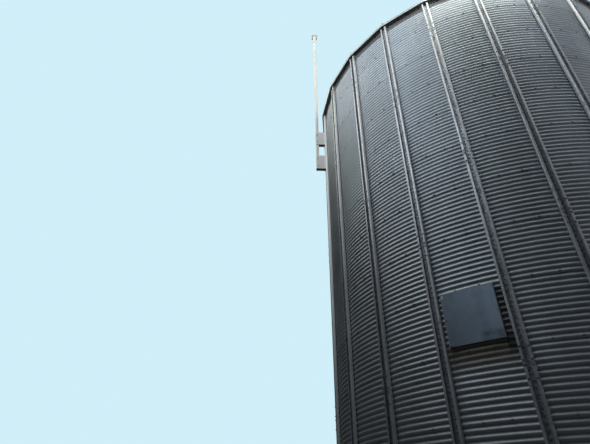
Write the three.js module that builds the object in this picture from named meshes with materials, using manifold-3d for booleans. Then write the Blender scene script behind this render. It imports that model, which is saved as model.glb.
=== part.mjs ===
// Galvanised grain silo: a round corrugated shell on a flat floor, upright stiffeners
// round it, a faceted conical roof with an open filling collar, and the bracketed post
// that carries the end of a catwalk.
// Millimetres, +Z up. The origin is on the silo's axis, at ground level.

import * as THREE from "three";
import { mergeVertices } from "three/addons/utils/BufferGeometryUtils.js";
import Module from "manifold-3d";

const wasm = await Module();
wasm.setup();

// Clearance between pieces that touch each other
const SEAT_GAP = 0.3;

// Corrugated wall, in rings of sheets with eleven corrugations each
const CORRUGATION_PITCH = 76.2;
const CORRUGATIONS_PER_RING = 11;
const RING_COUNT = 13;
const WALL_RADIUS = 3718;
const WALL_DEPTH = 16;
const BAY_COUNT = 24;
const CHORDS_PER_BAY = 4;
const WALL_SEGMENTS = 8;

// Flat band that closes the eave above the last corrugation
const EAVE_BAND_HEIGHT = 262;
const EAVE_BAND_THICKNESS = 16;

// Stiffener, a lipped channel that opens outward, on a foot plate
const STIFFENER_WIDTH = 132;
const STIFFENER_DEPTH = 55;
const STIFFENER_LIP = 37;
const STIFFENER_SHEET = 4;
const STIFFENER_TOP = 10780;
const FOOT_PLATE_WIDTH = 180;
const FOOT_PLATE_DEPTH = 110;
const FOOT_PLATE_THICKNESS = 12;

// Roof of flat panels with a folded drip edge, a rib on each seam and a lug at its foot
const ROOF_SLOPE = THREE.MathUtils.degToRad(30);
const ROOF_SECTORS = 6;
const ROOF_THICKNESS = 10;
const ROOF_EDGE_RADIUS = 3778;
const ROOF_INNER_RADIUS = 430;
const DRIP_DEPTH = 45;
const RIB_WIDTH = 34;
const RIB_HEIGHT = 45;
const RIB_SINK = 5;
const RIB_INNER_RADIUS = 640;
const RIB_EDGE_SETBACK = 30;
const LUG_THICKNESS = 10;
const LUG_DEPTH = 40;
const LUG_HEIGHT = 110;

// Open filling collar at the peak, with a skirt over the panels and a flange on top
const COLLAR_RADIUS = 408;
const COLLAR_THICKNESS = 8;
const COLLAR_DROP = 40;
const COLLAR_RISE = 260;
const COLLAR_SKIRT_RADIUS = 600;
const FLANGE_RADIUS = 475;
const FLANGE_THICKNESS = 12;

// Floor slab inside the wall
const FLOOR_THICKNESS = 100;

// Flat cover plate on the wall, a shallow tray whose folded sides reach the wall
const COVER_WIDTH = 708;
const COVER_HEIGHT = 738;
const COVER_TOP = 4172;
const COVER_OFFSET = -19;
const COVER_STANDOFF = 16;
const COVER_SHEET = 4;

// Catwalk post beside one stiffener, held by two box brackets
const POST_LINE = 14;
const POST_SIZE = 76;
const POST_RADIUS = 3968;
const POST_TOP = 14500;
const POST_CAP_SIZE = 180;
const POST_CAP_THICKNESS = 12;
const BRACKET_HEIGHT = 440;
const LOWER_BRACKET_BOTTOM = 8864;
const UPPER_BRACKET_BOTTOM = 9690;
const BRACKET_SHEET = 8;
const BRACKET_BACK_WIDTH = 130;

// Values that follow from the dimensions above
const BAY_ANGLE = (2 * Math.PI) / BAY_COUNT;
const FIRST_LINE_ANGLE = BAY_ANGLE / 2;
const FACET_RATIO = 1 / Math.cos(BAY_ANGLE / 2);
const SHELL_HEIGHT = RING_COUNT * CORRUGATIONS_PER_RING * CORRUGATION_PITCH;
const WALL_TOP = SHELL_HEIGHT - EAVE_BAND_HEIGHT;
const BAND_APOTHEM = (WALL_RADIUS - SEAT_GAP) / FACET_RATIO;

// Finishes
const galvanised = new THREE.MeshStandardMaterial({ color: 0x9aa3a8, roughness: 0.45, metalness: 0.8 });
const galvanisedBright = new THREE.MeshStandardMaterial({ color: 0xc4c9c8, roughness: 0.4, metalness: 0.8 });
const eaveSteel = new THREE.MeshStandardMaterial({ color: 0x33383b, roughness: 0.6, metalness: 0.5 });
const coverSteel = new THREE.MeshStandardMaterial({ color: 0x4a5560, roughness: 0.5, metalness: 0.6 });
const concrete = new THREE.MeshStandardMaterial({ color: 0x8d8b84, roughness: 0.95, metalness: 0 });

// Angle of stiffener line n, counted from zero
function lineAngle(n) {
  return FIRST_LINE_ANGLE + n * BAY_ANGLE;
}

// Point at a radius and an angle, in plan
function polar(radius, angle) {
  return new THREE.Vector2(radius * Math.cos(angle), radius * Math.sin(angle));
}

// Closed solid from a three.js geometry
function solidOf(geometry) {
  const bare = geometry.clone();
  bare.deleteAttribute("normal");
  bare.deleteAttribute("uv");
  const merged = mergeVertices(bare, 1e-3);
  const mesh = new wasm.Mesh({
    numProp: 3,
    vertProperties: new Float32Array(merged.attributes.position.array),
    triVerts: new Uint32Array(merged.index.array),
  });
  return new wasm.Manifold(mesh);
}

// three.js geometry from a closed solid
function geometryOf(solid) {
  const mesh = solid.getMesh();
  const geometry = new THREE.BufferGeometry();
  geometry.setAttribute("position", new THREE.BufferAttribute(mesh.vertProperties, 3));
  geometry.setIndex(new THREE.BufferAttribute(mesh.triVerts, 1));
  geometry.computeVertexNormals();
  return geometry;
}

// One geometry from several that overlap
function joined(geometries) {
  const solids = geometries.map(solidOf);
  const whole = solids.reduce((sum, solid) => sum.add(solid));
  return geometryOf(whole);
}

// Upright prism of a plan outline, between two heights
function prism(outline, bottom, top) {
  const shape = new THREE.Shape(outline);
  const geometry = new THREE.ExtrudeGeometry(shape, { depth: top - bottom, bevelEnabled: false });
  return geometry.translate(0, 0, bottom);
}

// Box between two corners
function block(low, high) {
  const size = high.map((value, axis) => value - low[axis]);
  const centre = high.map((value, axis) => (value + low[axis]) / 2);
  return new THREE.BoxGeometry(...size).translate(...centre);
}

// Ring of flat facets, one to a bay, turned from points of apothem and height
function facetRing(points) {
  const corners = points.map(([apothem, height]) => new THREE.Vector2(apothem * FACET_RATIO, height));
  const closed = [...corners, corners[0].clone()];
  const geometry = new THREE.LatheGeometry(closed, BAY_COUNT, FIRST_LINE_ANGLE);
  return geometry.rotateX(Math.PI / 2);
}

// Named mesh of one piece
function piece(name, geometry, material) {
  const mesh = new THREE.Mesh(geometry, material);
  mesh.name = name;
  return mesh;
}

// Group turned about the silo's axis, whose +X points outward at the angle
function turnedTo(angle, ...meshes) {
  const group = new THREE.Group();
  group.rotation.z = angle;
  group.add(...meshes);
  return group;
}

// Eighth of the corrugated wall as a slab of its full depth, in short chords
function wallSegment(index) {
  const bays = BAY_COUNT / WALL_SEGMENTS;
  const chords = bays * CHORDS_PER_BAY;
  const trim = SEAT_GAP / 2 / WALL_RADIUS;
  const start = lineAngle(index * bays) + trim;
  const end = lineAngle((index + 1) * bays) - trim;
  const angles = Array.from({ length: chords + 1 }, (_, k) => start + ((end - start) * k) / chords);
  const outer = angles.map((angle) => polar(WALL_RADIUS, angle));
  const inner = angles.map((angle) => polar(WALL_RADIUS - WALL_DEPTH, angle));
  const geometry = prism([...outer, ...inner.reverse()], 0, WALL_TOP);
  return piece(`wall_segment_${index + 1}`, geometry, galvanised);
}

// Lipped channel with its foot plate, on the outside of the wall
function stiffener(index) {
  const half = STIFFENER_WIDTH / 2;
  const inside = half - STIFFENER_SHEET;
  const lip = half - STIFFENER_LIP;
  const face = STIFFENER_DEPTH;
  const lipBack = STIFFENER_DEPTH - STIFFENER_SHEET;
  const outline = [
    [0, -half],
    [face, -half],
    [face, -lip],
    [lipBack, -lip],
    [lipBack, -inside],
    [STIFFENER_SHEET, -inside],
    [STIFFENER_SHEET, inside],
    [lipBack, inside],
    [lipBack, lip],
    [face, lip],
    [face, half],
    [0, half],
  ].map(([x, y]) => new THREE.Vector2(x, y));
  const channel = prism(outline, 0, STIFFENER_TOP);
  const foot = block(
    [0, -FOOT_PLATE_WIDTH / 2, 0],
    [FOOT_PLATE_DEPTH, FOOT_PLATE_WIDTH / 2, FOOT_PLATE_THICKNESS],
  );
  const name = `stiffener_${String(index + 1).padStart(2, "0")}`;
  const mesh = piece(name, joined([channel, foot]), galvanisedBright);
  mesh.position.x = WALL_RADIUS + SEAT_GAP;
  return turnedTo(lineAngle(index), mesh);
}

// Flat plates round the eave, set just inside the wall's face
function eaveBand() {
  const outer = BAND_APOTHEM;
  const inner = BAND_APOTHEM - EAVE_BAND_THICKNESS;
  const bottom = WALL_TOP + SEAT_GAP;
  const geometry = facetRing([
    [inner, bottom],
    [outer, bottom],
    [outer, SHELL_HEIGHT],
    [inner, SHELL_HEIGHT],
  ]);
  return piece("eave_band", geometry, eaveSteel);
}

// Height of the roof panels' underside at an apothem
function roofUnderside(apothem) {
  return SHELL_HEIGHT + SEAT_GAP + (BAND_APOTHEM - apothem) * Math.tan(ROOF_SLOPE);
}

// Height of the roof panels' top face at an apothem
function roofTop(apothem) {
  return roofUnderside(apothem) + ROOF_THICKNESS / Math.cos(ROOF_SLOPE);
}

// All roof panels and their drip edge as one ring
function roofShell() {
  const edge = ROOF_EDGE_RADIUS;
  const dripInner = edge - ROOF_THICKNESS;
  const dripBottom = roofUnderside(edge) - DRIP_DEPTH;
  return facetRing([
    [ROOF_INNER_RADIUS, roofUnderside(ROOF_INNER_RADIUS)],
    [dripInner, roofUnderside(dripInner)],
    [dripInner, dripBottom],
    [edge, dripBottom],
    [edge, roofTop(edge)],
    [ROOF_INNER_RADIUS, roofTop(ROOF_INNER_RADIUS)],
  ]);
}

// Point on the roof's top face, on a seam line
function seamPoint(apothem, angle) {
  const plan = polar(apothem * FACET_RATIO, angle);
  return new THREE.Vector3(plan.x, plan.y, roofTop(apothem));
}

// Rib along the first edge of one panel, with the lug at its foot
function ribWithLug(line) {
  const angle = lineAngle(line);
  const middle = angle + BAY_ANGLE / 2;
  const low = seamPoint(ROOF_EDGE_RADIUS, angle);
  const high = seamPoint(RIB_INNER_RADIUS, angle);
  const along = high.clone().sub(low).normalize();
  const lean = Math.sin(ROOF_SLOPE);
  const normal = new THREE.Vector3(lean * Math.cos(middle), lean * Math.sin(middle), Math.cos(ROOF_SLOPE));
  const across = along.clone().cross(normal);
  const place = new THREE.Matrix4().makeBasis(across, along, normal).setPosition(low);
  const rib = block(
    [SEAT_GAP, RIB_EDGE_SETBACK, -RIB_SINK],
    [RIB_WIDTH, high.distanceTo(low), RIB_HEIGHT],
  ).applyMatrix4(place);
  const lugTop = roofTop(ROOF_EDGE_RADIUS) + LUG_HEIGHT;
  const lugOuter = ROOF_EDGE_RADIUS * FACET_RATIO - RIB_WIDTH / 2;
  const lug = block(
    [lugOuter - LUG_DEPTH, SEAT_GAP, roofTop(ROOF_EDGE_RADIUS) - RIB_SINK],
    [lugOuter, LUG_THICKNESS, lugTop],
  ).rotateZ(angle);
  return [rib, lug];
}

// Sixth of the roof: its panels, cut from the whole ring, with their ribs
function roofSector(index, shell) {
  const bays = BAY_COUNT / ROOF_SECTORS;
  const start = lineAngle(index * bays);
  const end = lineAngle((index + 1) * bays);
  const middle = (start + end) / 2;
  const halfAngle = (end - start) / 2;
  const reach = (ROOF_EDGE_RADIUS * FACET_RATIO * 1.1) / Math.cos(halfAngle);
  const apex = polar(SEAT_GAP / 2 / Math.sin(halfAngle), middle);
  const outline = [
    apex,
    polar(reach, start).add(apex),
    polar(reach, end).add(apex),
  ];
  const wedge = prism(outline, WALL_TOP, POST_TOP);
  const panels = solidOf(shell).intersect(solidOf(wedge));
  const ribs = Array.from({ length: bays }, (_, k) => ribWithLug(index * bays + k)).flat();
  const whole = ribs.reduce((sum, rib) => sum.add(solidOf(rib)), panels);
  return piece(`roof_sector_${index + 1}`, geometryOf(whole), galvanised);
}

// Filling collar: neck, skirt over the panels and flange
function roofCollar() {
  const neckOuter = COLLAR_RADIUS / FACET_RATIO;
  const neckInner = neckOuter - COLLAR_THICKNESS;
  const flange = FLANGE_RADIUS / FACET_RATIO;
  const bottom = roofUnderside(ROOF_INNER_RADIUS) - COLLAR_DROP;
  const top = roofTop(ROOF_INNER_RADIUS) + COLLAR_RISE;
  const skirtUnder = (apothem) => roofTop(apothem) + SEAT_GAP;
  const skirtTop = (apothem) => skirtUnder(apothem) + COLLAR_THICKNESS;
  const geometry = facetRing([
    [neckInner, bottom],
    [neckOuter, bottom],
    [neckOuter, skirtUnder(neckOuter)],
    [COLLAR_SKIRT_RADIUS, skirtUnder(COLLAR_SKIRT_RADIUS)],
    [COLLAR_SKIRT_RADIUS, skirtTop(COLLAR_SKIRT_RADIUS)],
    [neckOuter, skirtTop(neckOuter)],
    [neckOuter, top - FLANGE_THICKNESS],
    [flange, top - FLANGE_THICKNESS],
    [flange, top],
    [neckInner, top],
  ]);
  return piece("roof_collar", geometry, galvanisedBright);
}

// Floor slab that fills the foot of the shell
function floorSlab() {
  const radius = WALL_RADIUS - WALL_DEPTH - SEAT_GAP;
  const chords = BAY_COUNT * CHORDS_PER_BAY;
  const outline = Array.from({ length: chords }, (_, k) => polar(radius, lineAngle(k / CHORDS_PER_BAY)));
  return piece("floor_slab", prism(outline, 0, FLOOR_THICKNESS), concrete);
}

// Distance from the axis to the wall's outer face, along -Y, at a sideways offset
function wallFaceAt(offset) {
  const chordAngle = BAY_ANGLE / CHORDS_PER_BAY;
  const side = Math.abs(offset);
  const chord = Math.floor(Math.asin(side / WALL_RADIUS) / chordAngle);
  const from = polar(WALL_RADIUS, chord * chordAngle);
  const to = polar(WALL_RADIUS, (chord + 1) * chordAngle);
  const share = (side - from.y) / (to.y - from.y);
  return from.x + (to.x - from.x) * share;
}

// Flat cover plate whose two folded sides stand on the wall
function coverPlate() {
  const left = COVER_OFFSET - COVER_WIDTH / 2;
  const right = COVER_OFFSET + COVER_WIDTH / 2;
  const back = WALL_RADIUS + COVER_STANDOFF;
  const front = back + COVER_SHEET;
  const seatLeft = wallFaceAt(left + COVER_SHEET) + SEAT_GAP;
  const seatRight = wallFaceAt(right - COVER_SHEET) + SEAT_GAP;
  const outline = [
    [left, -front],
    [right, -front],
    [right, -seatRight],
    [right - COVER_SHEET, -seatRight],
    [right - COVER_SHEET, -back],
    [left + COVER_SHEET, -back],
    [left + COVER_SHEET, -seatLeft],
    [left, -seatLeft],
  ].map(([x, y]) => new THREE.Vector2(x, y));
  return piece("cover_plate", prism(outline, COVER_TOP - COVER_HEIGHT, COVER_TOP), coverSteel);
}

// Square post with its cap plate, standing in the lower bracket
function catwalkPost() {
  const half = POST_SIZE / 2;
  const capHalf = POST_CAP_SIZE / 2;
  const foot = LOWER_BRACKET_BOTTOM + BRACKET_SHEET + SEAT_GAP;
  const shaft = block([-half, -half, foot], [half, half, POST_TOP]);
  const cap = block([-capHalf, -capHalf, POST_TOP - POST_CAP_THICKNESS], [capHalf, capHalf, POST_TOP]);
  const mesh = piece("catwalk_post", joined([shaft, cap]), galvanisedBright);
  mesh.position.x = POST_RADIUS;
  return mesh;
}

// Box bracket from the stiffener to the post: back plate, two cheeks, a lid and a bottom.
// The bottom runs on under the post where the post stands on it.
function postBracket(name, bottom, carriesPost) {
  const back = WALL_RADIUS + SEAT_GAP + STIFFENER_DEPTH + SEAT_GAP;
  const backFront = back + BRACKET_SHEET;
  const postInner = POST_RADIUS - POST_SIZE / 2 - SEAT_GAP;
  const postOuter = POST_RADIUS + POST_SIZE / 2;
  const cheekInner = POST_SIZE / 2 + SEAT_GAP;
  const cheekOuter = cheekInner + BRACKET_SHEET;
  const top = bottom + BRACKET_HEIGHT;
  const bottomReach = carriesPost ? postOuter : postInner;
  const half = BRACKET_BACK_WIDTH / 2;
  const plates = [
    block([back, -half, bottom], [backFront, half, top]),
    block([back, -cheekOuter, bottom], [postOuter, -cheekInner, top]),
    block([back, cheekInner, bottom], [postOuter, cheekOuter, top]),
    block([back, -cheekOuter, bottom], [bottomReach, cheekOuter, bottom + BRACKET_SHEET]),
    block([back, -cheekOuter, top - BRACKET_SHEET], [postInner, cheekOuter, top]),
  ];
  return piece(name, joined(plates), galvanised);
}

// Assembly
const silo = new THREE.Group();
for (let index = 0; index < WALL_SEGMENTS; index += 1) {
  silo.add(wallSegment(index));
}
for (let index = 0; index < BAY_COUNT; index += 1) {
  silo.add(stiffener(index));
}
const shell = roofShell();
for (let index = 0; index < ROOF_SECTORS; index += 1) {
  silo.add(roofSector(index, shell));
}
silo.add(floorSlab(), eaveBand(), roofCollar(), coverPlate());
silo.add(
  turnedTo(
    lineAngle(POST_LINE),
    catwalkPost(),
    postBracket("post_bracket_lower", LOWER_BRACKET_BOTTOM, true),
    postBracket("post_bracket_upper", UPPER_BRACKET_BOTTOM, false),
  ),
);

export default silo;
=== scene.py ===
"""Visual model of a galvanised grain silo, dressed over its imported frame.

Metres, +Z up, with the origin on the silo's axis at ground level. Stiffener lines stand at
every fifteen degrees round the wall. Each sub-assembly is a class that holds its sizes,
builds its meshes and dresses them. Sizes that the frame already holds are read from it.
"""

import logging
import math
from dataclasses import dataclass, field
from enum import Enum
from functools import lru_cache
from typing import Iterable, Iterator, Sequence, Union

import bpy
import numpy as np
from mathutils import Matrix, Vector


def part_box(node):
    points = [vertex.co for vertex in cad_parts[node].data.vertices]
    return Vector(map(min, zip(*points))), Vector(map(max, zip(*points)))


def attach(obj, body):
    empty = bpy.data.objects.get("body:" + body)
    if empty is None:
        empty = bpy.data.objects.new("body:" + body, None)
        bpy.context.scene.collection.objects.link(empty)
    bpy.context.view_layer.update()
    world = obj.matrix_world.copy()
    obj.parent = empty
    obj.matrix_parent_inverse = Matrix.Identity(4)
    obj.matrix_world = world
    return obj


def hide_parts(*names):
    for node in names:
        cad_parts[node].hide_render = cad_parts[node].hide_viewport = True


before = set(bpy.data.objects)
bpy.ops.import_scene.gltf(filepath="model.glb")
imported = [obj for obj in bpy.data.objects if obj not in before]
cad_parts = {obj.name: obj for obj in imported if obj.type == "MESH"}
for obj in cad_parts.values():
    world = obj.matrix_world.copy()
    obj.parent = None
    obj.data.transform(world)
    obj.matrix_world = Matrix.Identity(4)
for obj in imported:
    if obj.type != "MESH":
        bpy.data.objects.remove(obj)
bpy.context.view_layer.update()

LOG = logging.getLogger("silo")
BODY = "root"
ROUND = 2 * math.pi
QUARTER = math.pi / 2
TIPPED = Matrix.Rotation(QUARTER, 4, "X")
UPSIDE_DOWN = Matrix.Rotation(math.pi, 4, "X")

Colour = tuple[float, float, float]
Pair = tuple[float, float]
Value = Union["Wire", float, int, Sequence[float]]


# Shapes


@dataclass
class Shape:
    """Points in space and the polygons between them.

    Attributes:
        points: a row of x, y, z for each point.
        faces: arrays of point numbers, one array for each count of sides.
    """

    points: np.ndarray
    faces: list[np.ndarray]

    def moved(self, matrix: Matrix) -> "Shape":
        """Return a copy of the shape, carried by a matrix."""
        turn = np.array(matrix.to_3x3())
        return Shape(self.points @ turn.T + np.array(matrix.translation), self.faces)


class Draft:
    """Shapes gathered for one object."""

    def __init__(self, *shapes: Shape) -> None:
        """Start with some shapes, or none."""
        self.shapes: list[Shape] = list(shapes)

    def add(self, *shapes: Shape) -> None:
        """Add shapes that are already in their places."""
        self.shapes.extend(shapes)

    def repeat(self, shape: Shape, places: Iterable[Matrix]) -> None:
        """Add a copy of one shape at each place."""
        self.shapes.extend(shape.moved(place) for place in places)

    def fasten(self, kind: "Fastener", places: Sequence[Matrix]) -> None:
        """Add a head and its washer at each place."""
        self.repeat(kind.head(), places)
        self.repeat(kind.washer(), places)

    def to_object(self, name: str, crease_degrees: float) -> bpy.types.Object:
        """Make the object, smooth apart from creases sharper than an angle.

        Args:
            name: the object's name.
            crease_degrees: edges bent by more than this stay sharp.

        Returns:
            The new object, linked to the scene.
        """
        points = np.concatenate([shape.points for shape in self.shapes])
        polygons: list[list[int]] = []
        first = 0
        for shape in self.shapes:
            for group in shape.faces:
                polygons.extend((group + first).tolist())
            first += len(shape.points)
        mesh = bpy.data.meshes.new(name)
        mesh.from_pydata(points.tolist(), [], polygons)
        mesh.polygons.foreach_set("use_smooth", [True] * len(mesh.polygons))
        mesh.set_sharp_from_angle(angle=math.radians(crease_degrees))
        item = bpy.data.objects.new(name, mesh)
        bpy.context.scene.collection.objects.link(item)
        return item


def sheet(front: np.ndarray, back: np.ndarray, closed: bool = False) -> Shape:
    """Make a thin closed shell between two grids of points.

    Args:
        front: rows by columns by 3. Seen from outside, rows rise and columns run to the right.
        back: the same grid on the shell's other face.
        closed: whether the last column joins the first.

    Returns:
        The shell with its rims.
    """
    rows, columns = front.shape[:2]
    near = np.arange(rows * columns).reshape(rows, columns)
    if closed:
        near = np.hstack([near, near[:, :1]])
    far = near + rows * columns
    quads = [
        (near[:-1, :-1], near[:-1, 1:], near[1:, 1:], near[1:, :-1]),
        (far[:-1, :-1], far[1:, :-1], far[1:, 1:], far[:-1, 1:]),
        (near[0, :-1], far[0, :-1], far[0, 1:], near[0, 1:]),
        (near[-1, :-1], near[-1, 1:], far[-1, 1:], far[-1, :-1]),
    ]
    if not closed:
        quads.append((near[:-1, 0], near[1:, 0], far[1:, 0], far[:-1, 0]))
        quads.append((near[:-1, -1], far[:-1, -1], far[1:, -1], near[1:, -1]))
    faces = [np.stack(quad, axis=-1).reshape(-1, 4) for quad in quads]
    points = np.concatenate([front.reshape(-1, 3), back.reshape(-1, 3)])
    return Shape(points, faces)


def loft(loops: Sequence[np.ndarray], capped: bool = True) -> Shape:
    """Join closed loops that follow one another, anticlockwise seen from the last one.

    Args:
        loops: arrays of as many points each, a row of x, y, z for each point.
        capped: closes both ends, or else the last loop joins the first.

    Returns:
        A closed solid.
    """
    grid = np.array(loops)
    levels, count = grid.shape[:2]
    numbers = np.arange(levels * count).reshape(levels, count)
    if not capped:
        numbers = np.vstack([numbers, numbers[:1]])
    low = numbers[:-1]
    high = numbers[1:]
    side = (low, np.roll(low, -1, axis=1), np.roll(high, -1, axis=1), high)
    faces = [np.stack(side, axis=-1).reshape(-1, 4)]
    if capped:
        faces.append(np.array([numbers[0][::-1], numbers[-1]]))
    return Shape(grid.reshape(-1, 3), faces)


def outward(angle: float) -> np.ndarray:
    """Return the unit direction in plan at an angle."""
    return np.array((math.cos(angle), math.sin(angle)))


def level_loop(outline: np.ndarray, height: float) -> np.ndarray:
    """Return a plan outline as a loop of points at one height."""
    return np.column_stack([outline, np.full(len(outline), height)])


def standing(outline: np.ndarray, low: float, high: float) -> np.ndarray:
    """Return a plan outline at two heights, a row of points for each."""
    return np.stack([level_loop(outline, low), level_loop(outline, high)])


def round_grid(radii: np.ndarray, heights: np.ndarray, angles: np.ndarray) -> np.ndarray:
    """Return a grid of points round the z axis.

    Args:
        radii: of its rows.
        heights: of its rows.
        angles: of its columns.

    Returns:
        Rows by columns by 3.
    """
    x = np.outer(radii, np.cos(angles))
    y = np.outer(radii, np.sin(angles))
    return np.stack([x, y, np.broadcast_to(heights[:, None], x.shape)], axis=-1)


def turns_of(count: int) -> np.ndarray:
    """Return angles evenly spaced round a full turn."""
    return np.arange(count) * ROUND / count


def circle(radius: float, sides: int) -> np.ndarray:
    """Return points evenly round a circle in plan, anticlockwise."""
    return radius * np.column_stack([np.cos(turns_of(sides)), np.sin(turns_of(sides))])


def turned(profile: Sequence[Pair], sides: int) -> Shape:
    """Return a capped solid round the z axis, from radius and height of each step, upward."""
    return loft([level_loop(circle(radius, sides), height) for radius, height in profile])


def turned_ring(outline: np.ndarray, sides: int) -> Shape:
    """Make a ring round the z axis from a closed outline.

    Args:
        outline: radius and height of each corner, clockwise with the radius to the right.
        sides: how many sides the ring has.

    Returns:
        The ring, closed on itself.
    """
    radii, heights = outline.T
    loops = [
        np.column_stack([radii * math.cos(turn), radii * math.sin(turn), heights])
        for turn in turns_of(sides)
    ]
    return loft(loops, capped=False)


def prism(outline: np.ndarray, low: float, high: float) -> Shape:
    """Return the upright prism of an anticlockwise outline."""
    return loft(standing(outline, low, high))


def plate(low: Sequence[float], high: Sequence[float], bevel: float) -> Shape:
    """Make a box whose edges are all bevelled.

    Args:
        low: its lowest corner.
        high: its highest corner.
        bevel: width taken off each edge.

    Returns:
        The bevelled box.
    """
    foot, top = low[2], high[2]
    loops = []
    for inset, height in ((bevel, foot), (0.0, foot + bevel), (0.0, top - bevel), (bevel, top)):
        left, front = low[0] + inset, low[1] + inset
        right, rear = high[0] - inset, high[1] - inset
        outline = [
            (left + bevel, front),
            (right - bevel, front),
            (right, front + bevel),
            (right, rear - bevel),
            (right - bevel, rear),
            (left + bevel, rear),
            (left, rear - bevel),
            (left, front + bevel),
        ]
        loops.append(level_loop(np.array(outline), height))
    return loft(loops)


def rounded(corners: Sequence[Sequence[float]], radius: float, steps: int = 3) -> np.ndarray:
    """Round the inner corners of an open path.

    Args:
        corners: its corners in a plane.
        radius: of each bend.
        steps: chords in each bend.

    Returns:
        The points of the rounded path.
    """
    path = [np.array(corner, dtype=float) for corner in corners]
    points = [path[0]]
    for before, corner, after in zip(path, path[1:], path[2:]):
        arrive = (corner - before) / np.linalg.norm(corner - before)
        leave = (after - corner) / np.linalg.norm(after - corner)
        turn = math.acos(float(np.clip(arrive @ leave, -1.0, 1.0)))
        start = corner - arrive * radius * math.tan(turn / 2)
        side = leave - arrive * math.cos(turn)
        side /= np.linalg.norm(side)
        for swing in (turn * step / steps for step in range(steps + 1)):
            along = arrive * math.sin(swing) + side * (1 - math.cos(swing))
            points.append(start + along * radius)
    points.append(path[-1])
    return np.array(points)


def beside(path: np.ndarray, distance: float) -> np.ndarray:
    """Shift an open path to the right of its direction, mitred at its corners.

    Args:
        path: its points in a plane.
        distance: how far it shifts.

    Returns:
        The points of the shifted path.
    """
    runs = np.diff(path, axis=0)
    runs /= np.linalg.norm(runs, axis=1)[:, None]
    rights = np.column_stack([runs[:, 1], -runs[:, 0]])
    before = np.vstack([rights[:1], rights])
    after = np.vstack([rights, rights[-1:]])
    middle = before + after
    middle /= (1 + (before * after).sum(axis=1))[:, None]
    return path + middle * distance


def folded(path: np.ndarray, thickness: float) -> np.ndarray:
    """Outline a folded sheet.

    Args:
        path: the sheet's left face.
        thickness: of the sheet, to the right of the path.

    Returns:
        The closed outline, anticlockwise.
    """
    outline = np.vstack([path, beside(path, thickness)[::-1]])
    x, y = outline.T
    area = (x * np.roll(y, -1) - np.roll(x, -1) * y).sum()
    return outline if area > 0 else outline[::-1]


def at_angle(angle: float, radius: float = 0.0, height: float = 0.0, aside: float = 0.0) -> Matrix:
    """Return a place round the axis, whose x points outward and z up."""
    return Matrix.Rotation(angle, 4, "Z") @ Matrix.Translation((radius, aside, height))


def facing_out(angle: float, radius: float, height: float, aside: float = 0.0) -> Matrix:
    """Return a place round the axis, whose z points outward."""
    return at_angle(angle, radius, height, aside) @ Matrix.Rotation(QUARTER, 4, "Y")


class Fastener(Enum):
    """Hexagon heads by use: radius to the corners, height, washer radius and thickness."""

    SEAM = (0.0100, 0.0075, 0.0145, 0.0030)
    CHANNEL = (0.0105, 0.0070, 0.0, 0.0)
    SPLICE = (0.0100, 0.0070, 0.0140, 0.0020)
    RIB = (0.0085, 0.0060, 0.0130, 0.0025)
    FLANGE = (0.0110, 0.0080, 0.0150, 0.0025)
    BRACKET = (0.0150, 0.0110, 0.0220, 0.0035)
    ANCHOR = (0.0170, 0.0150, 0.0240, 0.0040)

    def head(self) -> Shape:
        """Make the head on its washer's face, along z, with its top quarter chamfered.

        Returns:
            The hexagon.
        """
        radius, height, _, seat = self.value
        top = seat + height
        profile = [(radius, seat), (radius, top - height * 0.25), (radius * 0.82, top)]
        return turned(profile, 6)

    def washer(self) -> Shape:
        """Return the washer, along z, from a millimetre inside what carries it."""
        _, _, radius, seat = self.value
        return turned([(radius, -0.001), (radius, seat * 0.6), (radius * 0.86, seat)], 12)


# Materials


class Wire:
    """A shader socket that takes part in arithmetic."""

    def __init__(self, graph: "Graph", socket: bpy.types.NodeSocket) -> None:
        """Wrap an output socket of a graph."""
        self.graph = graph
        self.socket = socket

    def __add__(self, other: Value) -> "Wire":
        """Return the sum."""
        return self.graph.math("ADD", self, other)

    def __sub__(self, other: Value) -> "Wire":
        """Return the difference."""
        return self.graph.math("SUBTRACT", self, other)

    def __rsub__(self, other: Value) -> "Wire":
        """Return another value less this one."""
        return self.graph.math("SUBTRACT", other, self)

    def __mul__(self, other: Value) -> "Wire":
        """Return the product."""
        return self.graph.math("MULTIPLY", self, other)

    def __truediv__(self, other: Value) -> "Wire":
        """Return the quotient."""
        return self.graph.math("DIVIDE", self, other)

    __radd__ = __add__
    __rmul__ = __mul__


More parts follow.
